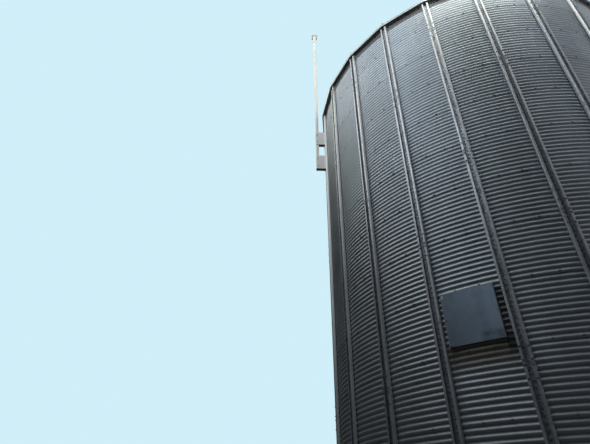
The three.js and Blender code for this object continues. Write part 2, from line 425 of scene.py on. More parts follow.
class Graph:
    """A node tree that is written as expressions."""

    def __init__(self, tree: bpy.types.NodeTree) -> None:
        """Start from an empty tree."""
        self.tree = tree
        tree.nodes.clear()

    def node(
        self,
        kind: str,
        settings: dict[str, object],
        sockets: dict[Union[str, int], Value],
        output: Union[str, int] = 0,
    ) -> Wire:
        """Add a node.

        Args:
            kind: the node's type.
            settings: its properties, set first.
            sockets: values or wires by socket identifier, name or number.
            output: which output comes back.

        Returns:
            The wire of that output.
        """
        node = self.tree.nodes.new(kind)
        for name, setting in settings.items():
            setattr(node, name, setting)
        for name, value in sockets.items():
            socket = self._socket(node.inputs, name)
            if isinstance(value, Wire):
                self.tree.links.new(value.socket, socket)
            else:
                socket.default_value = value
        return Wire(self, self._socket(node.outputs, output) if len(node.outputs) else None)

    @staticmethod
    def _socket(sockets: bpy.types.bpy_prop_collection, name: Union[str, int]) -> bpy.types.NodeSocket:
        """Return a socket by identifier, by name or by number."""
        exact = [socket for socket in sockets if socket.identifier == name]
        return exact[0] if exact else sockets[name]

    def math(self, operation: str, *values: Value) -> Wire:
        """Return the result of a Math node."""
        return self.node("ShaderNodeMath", {"operation": operation}, dict(enumerate(values)))

    def place(self) -> Wire:
        """Return the object coordinates."""
        return self.node("ShaderNodeTexCoord", {}, {}, "Object")

    def split(self, vector: Wire) -> tuple[Wire, Wire, Wire]:
        """Return the three parts of a vector."""
        first = self.node("ShaderNodeSeparateXYZ", {}, {0: vector})
        return first, *(Wire(self, first.socket.node.outputs[part]) for part in (1, 2))

    def vector(self, x: Value, y: Value, z: Value) -> Wire:
        """Return a vector of three values."""
        return self.node("ShaderNodeCombineXYZ", {}, {0: x, 1: y, 2: z})

    def stretch(self, vector: Wire, factors: Sequence[float]) -> Wire:
        """Return a vector multiplied part by part."""
        return self.node("ShaderNodeVectorMath", {"operation": "MULTIPLY"}, {0: vector, 1: factors})

    def noise(self, vector: Wire, scale: float, detail: float = 3.0, roughness: float = 0.55) -> Wire:
        """Return a soft noise from 0 to 1."""
        sockets = {"Vector": vector, "Scale": scale, "Detail": detail, "Roughness": roughness}
        return self.node("ShaderNodeTexNoise", {}, sockets)

    def crystals(self, vector: Wire, size: float) -> Wire:
        """Return a random value for each crystal of a size."""
        colour = self.node("ShaderNodeTexVoronoi", {}, {"Vector": vector, "Scale": 1.0 / size}, "Color")
        return self.node("ShaderNodeSeparateColor", {}, {0: colour})

    def chance(self, x: Value, y: Value) -> Wire:
        """Return a random value for each pair of whole numbers."""
        settings = {"noise_dimensions": "2D"}
        return self.node("ShaderNodeTexWhiteNoise", settings, {"Vector": self.vector(x, y, 0.0)})

    def between(self, value: Value, low: float, high: float) -> Wire:
        """Return a smooth step from 0 at one value to 1 at another."""
        settings = {"interpolation_type": "SMOOTHSTEP"}
        return self.node("ShaderNodeMapRange", settings, {"Value": value, 1: low, 2: high})

    def window(self, value: Value, low: float, high: float, soft: float) -> Wire:
        """Return 1 between two values, fading over a soft edge outside them."""
        return self.between(value, low - soft, low) * (1 - self.between(value, high, high + soft))

    def mix(self, factor: Value, first: Value, second: Value) -> Wire:
        """Return a colour from the first to the second by a factor."""
        sockets = {"Factor_Float": factor, "A_Color": opaque(first), "B_Color": opaque(second)}
        return self.node("ShaderNodeMix", {"data_type": "RGBA"}, sockets, "Result_Color")

    def tinted(self, colour: Value, tone: Wire) -> Wire:
        """Return a colour made lighter or darker by a factor."""
        return self.node("ShaderNodeVectorMath", {"operation": "SCALE"}, {0: colour, "Scale": tone})

    def bump(self, height: Wire, depth: float) -> Wire:
        """Return the normal over a relief of some depth."""
        return self.node("ShaderNodeBump", {}, {"Strength": 1.0, "Distance": depth, "Height": height})


def opaque(colour: Value) -> Value:
    """Return a colour with full alpha, or a wire as it is."""
    return colour if isinstance(colour, Wire) else (*colour, 1.0)


def share(amount: Pair, spots: Wire) -> Wire:
    """Return the first amount everywhere, and the second on top where there are spots."""
    return amount[0] + spots * amount[1]


@dataclass(frozen=True)
class Spots:
    """Soft-edged spots where a noise is high.

    Attributes:
        scale: steps of the noise in a metre.
        detail: octaves of the noise.
        low: value of the noise where a spot begins.
        high: value where it is full.
        roughness: of the noise.
    """

    scale: float
    detail: float
    low: float
    high: float
    roughness: float = 0.55

    def noise(self, graph: Graph, place: Wire) -> Wire:
        """Return the noise itself, from 0 to 1."""
        return graph.noise(place, self.scale, self.detail, self.roughness)

    def mask(self, graph: Graph, place: Wire) -> Wire:
        """Return how far a place is inside a spot, from 0 to 1."""
        return graph.between(self.noise(graph, place), self.low, self.high)


@dataclass(frozen=True)
class Patch:
    """A soft-edged darker patch on the side towards -Y, for stains and for painted shade.

    Attributes:
        colour: of the patch.
        amount: how much covers the sheet, everywhere and more where clouds lie.
        sides: x where it is full, from and to.
        heights: z where it is full, from and to.
        soft_sides: width over which it fades at its sides.
        soft_foot: height over which it fades below.
        soft_head: height over which it fades above.
    """

    colour: Colour
    amount: Pair
    sides: Pair
    heights: Pair
    soft_sides: float
    soft_foot: float
    soft_head: float

    def mask(self, graph: Graph, place: Wire) -> Wire:
        """Return how far a place is inside the patch.

        Args:
            graph: where its nodes go.
            place: the object coordinates.

        Returns:
            From 0 to 1.
        """
        x, y, z = graph.split(place)
        low, high = self.heights
        foot = graph.between(z, low - self.soft_foot, low)
        head = 1 - graph.between(z, high, high + self.soft_head)
        facing = graph.math("LESS_THAN", y, 0.0)
        return facing * graph.window(x, *self.sides, self.soft_sides) * foot * head


@dataclass
class Surface:
    """What varies over a surface.

    Attributes:
        colour: base colour.
        roughness: from 0 to 1.
        normal: of the surface with its relief.
        glow: light that the surface gives off, if any.
    """

    colour: Wire
    roughness: Wire
    normal: Wire
    glow: Union[Wire, None] = None


@dataclass(frozen=True)
class Finish:
    """A named finish.

    Attributes:
        name: of the material.
        colour: its mean base colour.
        metallic: from 0 to 1.
        roughness: its mean roughness.
    """

    name: str
    colour: Colour
    metallic: float
    roughness: float

    def surface(self, graph: Graph) -> Surface:
        """Return what varies over the surface."""
        raise NotImplementedError(self.name)

    @lru_cache(maxsize=None)
    def material(self) -> bpy.types.Material:
        """Make the material, once for each finish.

        Returns:
            The material.
        """
        material = bpy.data.materials.new(self.name)
        material.use_nodes = True
        graph = Graph(material.node_tree)
        surface = self.surface(graph)
        sockets = {
            "Base Color": surface.colour,
            "Metallic": self.metallic,
            "Roughness": surface.roughness,
            "Normal": surface.normal,
        }
        if surface.glow:
            sockets |= {"Emission Color": surface.glow, "Emission Strength": 1.0}
        shader = graph.node("ShaderNodeBsdfPrincipled", {}, sockets)
        graph.node("ShaderNodeOutputMaterial", {}, {"Surface": shader})
        material.diffuse_color = (*self.colour, 1.0)
        return material


@dataclass(frozen=True)
class Galvanised(Finish):
    """Zinc-coated steel with crystals, cloudy patches and rain streaks.

    Attributes:
        crystal_size: width of one zinc crystal.
        crystal_contrast: how far crystals differ in tone.
        cloud_contrast: how far patches differ in tone.
        streak_contrast: how far upright streaks differ in tone.
        cloud_scale: patches in a metre.
        streak_scale: streaks in a metre, along x, y and z.
        grain_scale: grains of unevenness in a metre.
        relief: depth of the fine unevenness.
        crystal_relief: how much crystals add to it.
        cloud_dulls: how far patches differ in roughness.
        crystal_dulls: how far crystals differ in roughness.
    """

    crystal_size: float = 0.016
    crystal_contrast: float = 0.16
    cloud_contrast: float = 0.22
    streak_contrast: float = 0.20
    cloud_scale: float = 1.7
    streak_scale: tuple[float, float, float] = (9.0, 9.0, 0.45)
    grain_scale: float = 90.0
    relief: float = 0.0006
    crystal_relief: float = 0.5
    cloud_dulls: float = 0.22
    crystal_dulls: float = 0.10

    def surface(self, graph: Graph) -> Surface:
        """Lay zinc.

        Args:
            graph: where its nodes go.

        Returns:
            Its colour, roughness and normal.
        """
        place = graph.place()
        crystal = graph.crystals(place, self.crystal_size)
        cloud = graph.noise(place, self.cloud_scale, 4.0)
        streak = graph.noise(graph.stretch(place, self.streak_scale), 1.0)
        tone = (
            1.0
            + (crystal - 0.5) * self.crystal_contrast
            + (cloud - 0.5) * self.cloud_contrast
            + (streak - 0.5) * self.streak_contrast
        )
        dull = (cloud - 0.5) * self.cloud_dulls + (crystal - 0.5) * self.crystal_dulls
        normal = graph.bump(self.unevenness(graph, place, crystal), self.relief)
        return Surface(graph.tinted(self.colour, tone), dull + self.roughness, normal)

    def unevenness(self, graph: Graph, place: Wire, crystal: Wire) -> Wire:
        """Return the height of the relief, from the grain and the crystals."""
        return graph.noise(place, self.grain_scale, 2.0) + crystal * self.crystal_relief


@dataclass(frozen=True)
class WallSheets(Galvanised):
    """Corrugated sheets: each a little different, with dust and painted shade in the grooves.

    Attributes:
        ring_height: of one ring of sheets.
        pitch: of the corrugation.
        first_line: angle of the first stiffener line.
        sheet_angle: angle that one sheet covers.
        sheet_contrast: how far sheets differ in tone.
        patch_scale: clouds in a metre, which vary how dark the grooves and patches are.
        groove_dust_and_shade_colour: of the dust and painted shade in the grooves.
        groove_from: share of the corrugation's depth where it begins.
        groove_dust_and_shade_amount: how much of it there is.
        stain_and_shadow: the run of rust and the painted shadow below the cover plate.
        shade: painted shade in the strip beside the cover plate.
        low_tint_colour: mixed in low on the wall, so that it grows darker and greyer towards the bottom.
        low_tint_heights: where it begins to fade and ends.
        low_tint_amount: how much of it there is.
        splash_colour: of the splashed earth at the foot.
        splash_heights: where it begins to fade and ends.
        splash_amount: how much of it there is.
        dirt_dulls: roughness added where the grooves and the patch below the plate are darkened.
        wobble: depth of the slow waves in the sheets.
        wobble_scale: waves in a metre.
    """

    ring_height: float = 0.8382
    pitch: float = 0.0762
    first_line: float = math.radians(7.5)
    sheet_angle: float = math.radians(45)
    sheet_contrast: float = 0.12
    patch_scale: float = 3.1
    groove_dust_and_shade_colour: Colour = (0.070, 0.078, 0.085)
    groove_from: float = 0.40
    groove_dust_and_shade_amount: Pair = (0.20, 0.55)
    stain_and_shadow: Patch = Patch((0.26, 0.22, 0.15), (0.45, 0.50), (-0.36, 0.44), (3.32, 3.45), 0.10, 0.32, 0.02)
    shade: Patch = Patch(groove_dust_and_shade_colour, (0.72, 0.45), (0.34, 0.46), (3.32, 4.08), 0.03, 0.10, 0.10)
    low_tint_colour: Colour = (0.34, 0.35, 0.34)
    low_tint_heights: Pair = (1.5, 4.5)
    low_tint_amount: Pair = (0.15, 0.45)
    splash_colour: Colour = (0.16, 0.15, 0.13)
    splash_heights: Pair = (0.05, 0.75)
    splash_amount: float = 0.7
    dirt_dulls: float = 0.25
    wobble: float = 0.004
    wobble_scale: float = 4.5

    def surface(self, graph: Graph) -> Surface:
        """Lay zinc on the wall, with dust, rust, earth, painted shade and painted shadow.

        Args:
            graph: where its nodes go.

        Returns:
            Its colour, roughness and normal.
        """
        zinc = super().surface(graph)
        place = graph.place()
        x, y, z = graph.split(place)
        clouds = graph.noise(place, self.patch_scale, 4.0)
        ring = graph.math("FLOOR", z / self.ring_height)
        turn = graph.math("ARCTAN2", y, x) - self.first_line
        column = graph.math("FLOOR", turn / self.sheet_angle)
        tone = 1.0 + (graph.chance(ring, column) - 0.5) * self.sheet_contrast
        depth = 0.5 - graph.math("COSINE", z * (ROUND / self.pitch)) * 0.5
        # Dust and painted shade: the grooves are painted darker.
        groove_dust_and_shade = graph.between(depth, self.groove_from, 1.0) * share(self.groove_dust_and_shade_amount, clouds)
        colour = graph.mix(groove_dust_and_shade, graph.tinted(zinc.colour, tone), self.groove_dust_and_shade_colour)
        # Rust and painted shadow in the run below the cover plate.
        stain_and_shadow = self.stain_and_shadow.mask(graph, place)
        colour = graph.mix(stain_and_shadow * share(self.stain_and_shadow.amount, clouds), colour, self.stain_and_shadow.colour)
        # Painted shade in the strip beside the cover plate.
        shade = self.shade.mask(graph, place)
        colour = graph.mix(shade * share(self.shade.amount, clouds), colour, self.shade.colour)
        # The wall grows darker and greyer towards the bottom.
        low_tint = (1 - graph.between(z, *self.low_tint_heights)) * share(self.low_tint_amount, clouds)
        colour = graph.mix(low_tint, colour, self.low_tint_colour)
        splash = (1 - graph.between(z, *self.splash_heights)) * clouds * self.splash_amount
        colour = graph.mix(splash, colour, self.splash_colour)
        return Surface(colour, zinc.roughness + (groove_dust_and_shade + stain_and_shadow) * self.dirt_dulls, zinc.normal)

    def unevenness(self, graph: Graph, place: Wire, crystal: Wire) -> Wire:
        """Return the height of the relief, from the grain and slow waves."""
        wave = graph.noise(place, self.wobble_scale, 2.0) * (self.wobble / self.relief)
        return wave + graph.noise(place, self.grain_scale, 2.0)


@dataclass(frozen=True)
class ChannelZinc(Galvanised):
    """Zinc on the stiffeners: clean lips, flanks with painted sunlight, dust, stains and painted shade
    inside the channel.

    Attributes:
        bay: angle between two stiffener lines.
        lip_radius: radius of the back face of the lips.
        inner_half: half the width of the channel's inside.
        dust_and_shade_colour: of the dust and painted shade inside, and of the scuffs.
        dust_and_shade: spots where the dust and painted shade lie thickest.
        dust_and_shade_amount: how much of it there is.
        dirt_dulls: roughness that it adds.
        scuffs: where the sheet is scuffed.
        scuff_amount: how far scuffs take its colour.
        scuff_dulls: roughness that they add.
        painted_sunlight_colour: painted sunlight on the flanks.
        painted_sunlight_amount: how far it takes the zinc's place.
        painted_sunlit_side: x up to which the flanks are fully painted lit, and from which little is
            painted lit.
        least_painted_sunlight: share of the painted light that is left there.
    """

    bay: float = math.radians(15)
    lip_radius: float = 3.770
    inner_half: float = 0.0645
    dust_and_shade_colour: Colour = (0.060, 0.066, 0.072)
    dust_and_shade: Spots = Spots(26.0, 4.0, 0.42, 0.62, 0.7)
    dust_and_shade_amount: Pair = (0.08, 0.46)
    dirt_dulls: float = 0.30
    scuffs: Spots = Spots(11.0, 5.0, 0.50, 0.70, 0.7)
    scuff_amount: float = 0.42
    scuff_dulls: float = 0.25
    painted_sunlight_colour: Colour = (0.98, 0.97, 0.92)
    painted_sunlight_amount: float = 0.9
    painted_sunlit_side: Pair = (-1.8, 0.4)
    least_painted_sunlight: float = 0.12

    def surface(self, graph: Graph) -> Surface:
        """Lay zinc, dust, painted shade and painted sunlight on the channel.

        Args:
            graph: where its nodes go.

        Returns:
            Its colour, roughness and normal.
        """
        zinc = super().surface(graph)
        place = graph.place()
        x, y, _ = graph.split(place)
        radius = graph.math("SQRT", x * x + y * y)
        # Whole bays are added so that the fraction is never taken of a negative number.
        bays = graph.math("ARCTAN2", y, x) / self.bay + 100.0
        aside = graph.math("ABSOLUTE", graph.math("FRACT", bays) - 0.5) * self.bay * radius
        behind_lips = graph.math("LESS_THAN", radius, self.lip_radius)
        inside = graph.math("LESS_THAN", aside, self.inner_half) * behind_lips
        flank = graph.math("GREATER_THAN", aside, self.inner_half) * behind_lips
        # Dust and painted shade: the inside of the channel is painted darker, most in spots.
        dust_and_shade = inside * share(self.dust_and_shade_amount, self.dust_and_shade.mask(graph, place))
        scuff = self.scuffs.mask(graph, place) * self.scuff_amount
        colour = graph.mix(scuff, zinc.colour, self.dust_and_shade_colour)
        colour = graph.mix(dust_and_shade, colour, self.dust_and_shade_colour)
        # Painted sunlight: the flanks are painted near white, fully on the -X side and little towards
        # +X.
        painted_sunlit_side = 1 - graph.between(x, *self.painted_sunlit_side) * (1 - self.least_painted_sunlight)
        colour = graph.mix(flank * painted_sunlit_side * self.painted_sunlight_amount, colour, self.painted_sunlight_colour)
        dull = dust_and_shade * self.dirt_dulls + scuff * self.scuff_dulls
        return Surface(colour, zinc.roughness + dull, zinc.normal)


@dataclass(frozen=True)
class BracketZinc(Galvanised):
    """Zinc on the post's brackets, with painted shade under their floor plates.

    Attributes:
        undersides: heights of the brackets' undersides.
        underside_shade_colour: of the painted shade.
        underside_shade_amount: how far it covers the zinc.
        underside_shade_rise: how far it reaches up the plates' edges.
        underside_shade_soft: height over which it fades.
    """

    undersides: tuple[float, ...] = ()
    underside_shade_colour: Colour = (0.035, 0.037, 0.040)
    underside_shade_amount: float = 0.9
    underside_shade_rise: float = 0.001
    underside_shade_soft: float = 0.002

    def surface(self, graph: Graph) -> Surface:
        """Lay zinc and painted shade on the bracket.

        Args:
            graph: where its nodes go.

        Returns:
            Its colour, roughness and normal.
        """
        zinc = super().surface(graph)
        height = graph.split(graph.place())[2]
        colour = zinc.colour
        for low in self.undersides:
            # Painted shade: a dark band at the height of each floor plate's underside.
            underside_shade = graph.window(height, low - self.underside_shade_soft, low + self.underside_shade_rise, self.underside_shade_soft)
            colour = graph.mix(underside_shade * self.underside_shade_amount, colour, self.underside_shade_colour)
        return Surface(colour, zinc.roughness, zinc.normal)


@dataclass(frozen=True)
class PaintedSteel(Finish):
    """Plain dark sheet with faint clouds and dust.

    Attributes:
        dust: colour of the dust.
        dust_share: how much of it lies on the sheet.
        cloud_scale: clouds in a metre.
        streak_scale: streaks in a metre, along x, y and z.
        grain_scale: grains of unevenness in a metre.
        relief: depth of the unevenness.
        cloud_dulls: how far clouds differ in roughness.
    """

    dust: Colour = (0.20, 0.20, 0.19)
    dust_share: float = 0.25
    cloud_scale: float = 2.3
    streak_scale: tuple[float, float, float] = (14.0, 14.0, 0.9)
    grain_scale: float = 140.0
    relief: float = 0.0004
    cloud_dulls: float = 0.25

    def surface(self, graph: Graph) -> Surface:
        """Lay paint and dust on the sheet.

        Args:
            graph: where its nodes go.

        Returns:
            Its colour, roughness and normal.
        """
        place = graph.place()
        cloud = graph.noise(place, self.cloud_scale, 5.0)
        streak = graph.noise(graph.stretch(place, self.streak_scale), 1.0)
        grain = graph.noise(place, self.grain_scale, 2.0)
        # Each noise is a half on average, so their product is a quarter.
        colour = graph.mix(cloud * streak * (4.0 * self.dust_share), self.colour, self.dust)
        roughness = self.roughness + (cloud - 0.5) * self.cloud_dulls
        return Surface(colour, roughness, graph.bump(grain, self.relief))


@dataclass(frozen=True)
class ClosureSheet(PaintedSteel):
    """Closure painted dark as painted shade, going over into painted light at its top under the roof's
    edge.

    Attributes:
        painted_top_light_heights: where the painted shade begins to fade and where the painted light is
            full.
        painted_top_light_colour: of the painted light at the top.
    """

    painted_top_light_heights: Pair = (10.72, 10.84)
    painted_top_light_colour: Colour = (0.80, 0.82, 0.83)

    def surface(self, graph: Graph) -> Surface:
        """Lay paint, painted shade and painted light on the closure.

        Args:
            graph: where its nodes go.

        Returns:
            Its colour, roughness and normal.
        """
        dark = super().surface(graph)
        # Painted light: the top, in the roof's full shade, is painted pale; the dark colour below it is
        # painted shade.
        painted_top_light = graph.between(graph.split(graph.place())[2], *self.painted_top_light_heights)
        colour = graph.mix(painted_top_light, dark.colour, self.painted_top_light_colour)
        return Surface(colour, dark.roughness, dark.normal)


@dataclass(frozen=True)
class CoverSheet(Galvanised):
    """Flat sheet gone dull and blue-grey, smudged, with brighter worn edges and painted light that grows
    to the right and upward.

    Attributes:
        low: lower corner of its face, x and z.
        high: upper corner of its face, x and z.
        painted_light_tones: tone at the lower left corner, and the painted light that it gains to the
            right and upward.
        dark_colour: of the smudges.
        smudges: where the face is smudged.
        smudge_amount: how dark smudges are.
        corner_sides: x where the dark corner begins and where it is full.
        corner_heights: z where it begins to fade and where it ends.
        corner_blots: where it is darkest.
        corner_amount: how dark it is.
        smudge_dulls: roughness that smudges add.
        worn_colour: of the worn edges.
        worn_amount: how far it takes the zinc's place.
        worn_side: width of the worn edges at the sides.
        worn_foot: height of the worn edge at the foot.
        worn_soft: width over which they fade.
    """

    low: Pair = (-0.37, 3.43)
    high: Pair = (0.33, 4.17)
    painted_light_tones: tuple[float, float, float] = (0.72, 0.40, 0.14)
    dark_colour: Colour = (0.045, 0.05, 0.06)
    smudges: Spots = Spots(6.5, 5.0, 0.45, 0.72, 0.65)
    smudge_amount: float = 0.18
    corner_sides: Pair = (0.02, 0.10)
    corner_heights: Pair = (3.52, 3.60)
    corner_blots: Spots = Spots(11.0, 2.0, 0.44, 0.60)
    corner_amount: Pair = (0.28, 0.22)
    smudge_dulls: float = 0.15
    worn_colour: Colour = (0.42, 0.44, 0.43)
    worn_amount: Pair = (0.3, 0.5)
    worn_side: float = 0.012
    worn_foot: float = 0.002
    worn_soft: float = 0.008

    def surface(self, graph: Graph) -> Surface:
        """Lay zinc, smudges and painted light on the plate.

        Args:
            graph: where its nodes go.

        Returns:
            Its colour, roughness and normal.
        """
        zinc = super().surface(graph)
        place = graph.place()
        x, _, z = graph.split(place)
        (left, foot), (right, top) = self.low, self.high
        base, painted_light_across, painted_light_up = self.painted_light_tones
        # Painted light: the plate is painted lighter towards the right and upward.
        tone = base + graph.between(x, left, right) * painted_light_across + graph.between(z, foot, top) * painted_light_up
        corner = graph.between(x, *self.corner_sides) * (1 - graph.between(z, *self.corner_heights))
        blots = share(self.corner_amount, self.corner_blots.mask(graph, place))
        dark = self.smudges.mask(graph, place) * self.smudge_amount + corner * blots
        colour = graph.mix(dark, graph.tinted(zinc.colour, tone), self.dark_colour)
        inside = graph.window(x, left + self.worn_side, right - self.worn_side, self.worn_soft)
        above = foot + self.worn_foot
        inside = inside * graph.between(z, above, above + self.worn_soft)
        worn = (1 - inside) * share(self.worn_amount, self.smudges.noise(graph, place))
        colour = graph.mix(worn, colour, self.worn_colour)
        return Surface(colour, zinc.roughness + dark * self.smudge_dulls, zinc.normal)


@dataclass(frozen=True)
class Concrete(Finish):
    """Trowelled concrete with cloudy tones and fine pores.

    Attributes:
        cloud_scale: clouds in a metre.
        grit_scale: grains in a metre.
        cloud_tones: tone where there is no cloud, and what clouds add.
        grit_contrast: how far grains differ in tone.
        cloud_dulls: how far clouds differ in roughness.
        relief: depth of the pores.
    """

    cloud_scale: float = 1.4
    grit_scale: float = 60.0
    cloud_tones: Pair = (0.8, 0.35)
    grit_contrast: float = 0.2
    cloud_dulls: float = 0.1
    relief: float = 0.002

    def surface(self, graph: Graph) -> Surface:
        """Lay concrete.

        Args:
            graph: where its nodes go.

        Returns:
            Its colour, roughness and normal.
        """
        place = graph.place()
        cloud = graph.noise(place, self.cloud_scale, 6.0)
        grit = graph.noise(place, self.grit_scale, 4.0)
        tone = share(self.cloud_tones, cloud) + (grit - 0.5) * self.grit_contrast
        roughness = self.roughness + (cloud - 0.5) * self.cloud_dulls
        return Surface(graph.tinted(self.colour, tone), roughness, graph.bump(grit, self.relief))


@dataclass(frozen=True)
class FloorPaint(Finish):
    """Pale floor that gives little light back to the silo.

    Attributes:
        seen_glow: light added to it where it is seen.
        cast_glow: even light that it casts on the silo.
        cast_colour: its colour for the light that it throws back.
        cloud_scale: clouds in a metre.
        cloud_dulls: how far clouds differ in roughness.
        relief: depth of the unevenness.
    """

    seen_glow: Colour = (0.50, 0.51, 0.51)
    cast_glow: Colour = (0.012, 0.012, 0.012)
    cast_colour: Colour = (0.13, 0.13, 0.13)
    cloud_scale: float = 0.4
    cloud_dulls: float = 0.04
    relief: float = 0.0001

    def surface(self, graph: Graph) -> Surface:
        """Lay the floor's paint.

        Args:
            graph: where its nodes go.

        Returns:
            Its colour, roughness, normal and glow.
        """
        seen = graph.node("ShaderNodeLightPath", {}, {}, "Is Camera Ray")
        cloud = graph.noise(graph.place(), self.cloud_scale)
        colour = graph.mix(seen, self.cast_colour, self.colour)
        glow = graph.mix(seen, self.cast_glow, self.seen_glow)
        roughness = self.roughness + (cloud - 0.5) * self.cloud_dulls
        return Surface(colour, roughness, graph.bump(cloud, self.relief), glow)


# Frame and sub-assemblies


BRACKETS = ("post_bracket_lower", "post_bracket_upper")
# Above ABOVE_FEET a stiffener has no foot plate. TOUCH is the small gap or overlap where
# sheets lie together, and SUNK is how far bolts and screws sit inside what carries them.
ABOVE_FEET = 1.0
TOUCH = 0.0003
SUNK = 0.0005


def points_at(node: str, angle: float = 0.0) -> list[Vector]:
    """Return a node's points, in the frame whose x points outward at an angle."""
    turn = Matrix.Rotation(-angle, 3, "Z")
    return [turn @ vertex.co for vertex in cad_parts[node].data.vertices]


def reach_of(node: str, above: float = -1.0) -> float:
    """Return the greatest distance from the axis of a node's points above a height."""
    return max(point.xy.length for point in points_at(node) if point.z > above)


def box_at(node: str, angle: float) -> tuple[Vector, Vector]:
    """Return a node's lowest and highest corner, in the frame of a line's angle."""
    columns = list(zip(*points_at(node, angle)))
    return Vector([min(column) for column in columns]), Vector([max(column) for column in columns])


@dataclass(frozen=True)
class Layout:
    """Sizes that the sub-assemblies share, read from the frame where it has them."""

    bays: int = 24
    rings: int = 13
    corrugations_per_ring: int = 11
    bays_per_sheet: int = 3
    wall_segments: int = 8
    roof_sectors: int = 6
    roof_slope: float = math.radians(30)
    wall_radius: float = field(default_factory=lambda: reach_of("wall_segment_1"))
    wall_top: float = field(default_factory=lambda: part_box("wall_segment_1")[1].z)
    shell_top: float = field(default_factory=lambda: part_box("eave_band")[1].z)
    stiffener_reach: float = field(default_factory=lambda: reach_of("stiffener_01", ABOVE_FEET))

    @property
    def bay(self) -> float:
        """Angle of one bay between stiffener lines."""
        return ROUND / self.bays

    @property
    def ring_height(self) -> float:
        """Height of one ring of sheets."""
        return self.shell_top / self.rings

    @property
    def pitch(self) -> float:
        """Pitch of the corrugation."""
        return self.ring_height / self.corrugations_per_ring

    @property
    def facet_ratio(self) -> float:
        """Corner radius of the faceted roof over its apothem."""
        return 1 / math.cos(self.bay / 2)

    def line(self, number: float) -> float:
        """Return the angle of a stiffener line, counted from zero."""
        return (number + 0.5) * self.bay


LAYOUT = Layout()

ZINC = Galvanised("zinc_collar", (0.54, 0.57, 0.60), 0.85, 0.42)
ZINC_CHANNEL = ChannelZinc(
    "zinc_channel",
    (0.58, 0.62, 0.67),
    0.80,
    0.50,
    bay=LAYOUT.bay,
    lip_radius=LAYOUT.stiffener_reach - 0.003,
)
ZINC_POST = Galvanised("zinc_post", (0.88, 0.88, 0.85), 0.10, 0.50, crystal_contrast=0.06)
ZINC_BRACKET = BracketZinc(
    "zinc_bracket",
    ZINC_POST.colour,
    ZINC_POST.metallic,
    ZINC_POST.roughness,
    crystal_contrast=ZINC_POST.crystal_contrast,
    undersides=tuple(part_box(node)[0].z for node in BRACKETS),
)
ZINC_ROOF = Galvanised("zinc_roof", (0.56, 0.59, 0.61), 0.85, 0.42)
ZINC_BOLT = Galvanised("zinc_bolt", (0.50, 0.52, 0.53), 0.85, 0.38, crystal_size=0.004)
OLD_BOLT = Galvanised("old_bolt", (0.20, 0.21, 0.22), 0.80, 0.45, crystal_size=0.004)
ZINC_WALL = WallSheets(
    "zinc_wall",
    (0.46, 0.52, 0.575),
    0.85,
    0.52,
    cloud_contrast=0.36,
    ring_height=LAYOUT.ring_height,
    pitch=LAYOUT.pitch,
    first_line=LAYOUT.line(0),
    sheet_angle=LAYOUT.bay * LAYOUT.bays_per_sheet,
)
# Its dark colour is painted shade under the roof's edge.
SHADED_CLOSURE = ClosureSheet("closure_painted_shade", (0.19, 0.20, 0.21), 0.3, 0.55)
DARK_WASHER = PaintedSteel("dark_washer", (0.15, 0.16, 0.17), 0.0, 0.70)
COVER = CoverSheet("cover_sheet", (0.33, 0.44, 0.57), 0.4, 0.50, crystal_contrast=0.05)
CONCRETE = Concrete("concrete", (0.46, 0.45, 0.42), 0.0, 0.92)


@dataclass
class Assembly:
    """Common way to place, dress and report the pieces of a sub-assembly."""

    layout: Layout
    crease_degrees: float = 34.0

    def put(
        self,
        name: str,
        draft: Draft,
        finish: Finish,
        slot: str,
        replaces: Sequence[str] = (),
    ) -> None:
        """Make one piece of a draft.

        Args:
            name: the piece's name.
            draft: its shapes.
            finish: its finish.
            slot: name of a material slot; not used.
            replaces: nodes that it stands for.
        """
        piece = draft.to_object(name, self.crease_degrees)
        piece.data.materials.append(finish.material())
        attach(piece, BODY)
        if replaces:
            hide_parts(*replaces)
        LOG.info("%s: %d faces, %s", name, len(piece.data.polygons), finish.name)

    def put_fasteners(
        self,
        names: tuple[str, str],
        kind: Fastener,
        places: list[Matrix],
        slot: str,
    ) -> None:
        """Make a piece of heads and a piece of dark washers.

        Args:
            names: of the heads' piece and of the washers' piece.
            kind: of fastener.
            places: where they sit.
            slot: name of a material slot, passed on to put.
        """
        for name, shape, finish in zip(names, (kind.head(), kind.washer()), (ZINC_BOLT, DARK_WASHER)):
            draft = Draft()
            draft.repeat(shape, places)
            self.put(name, draft, finish, slot)


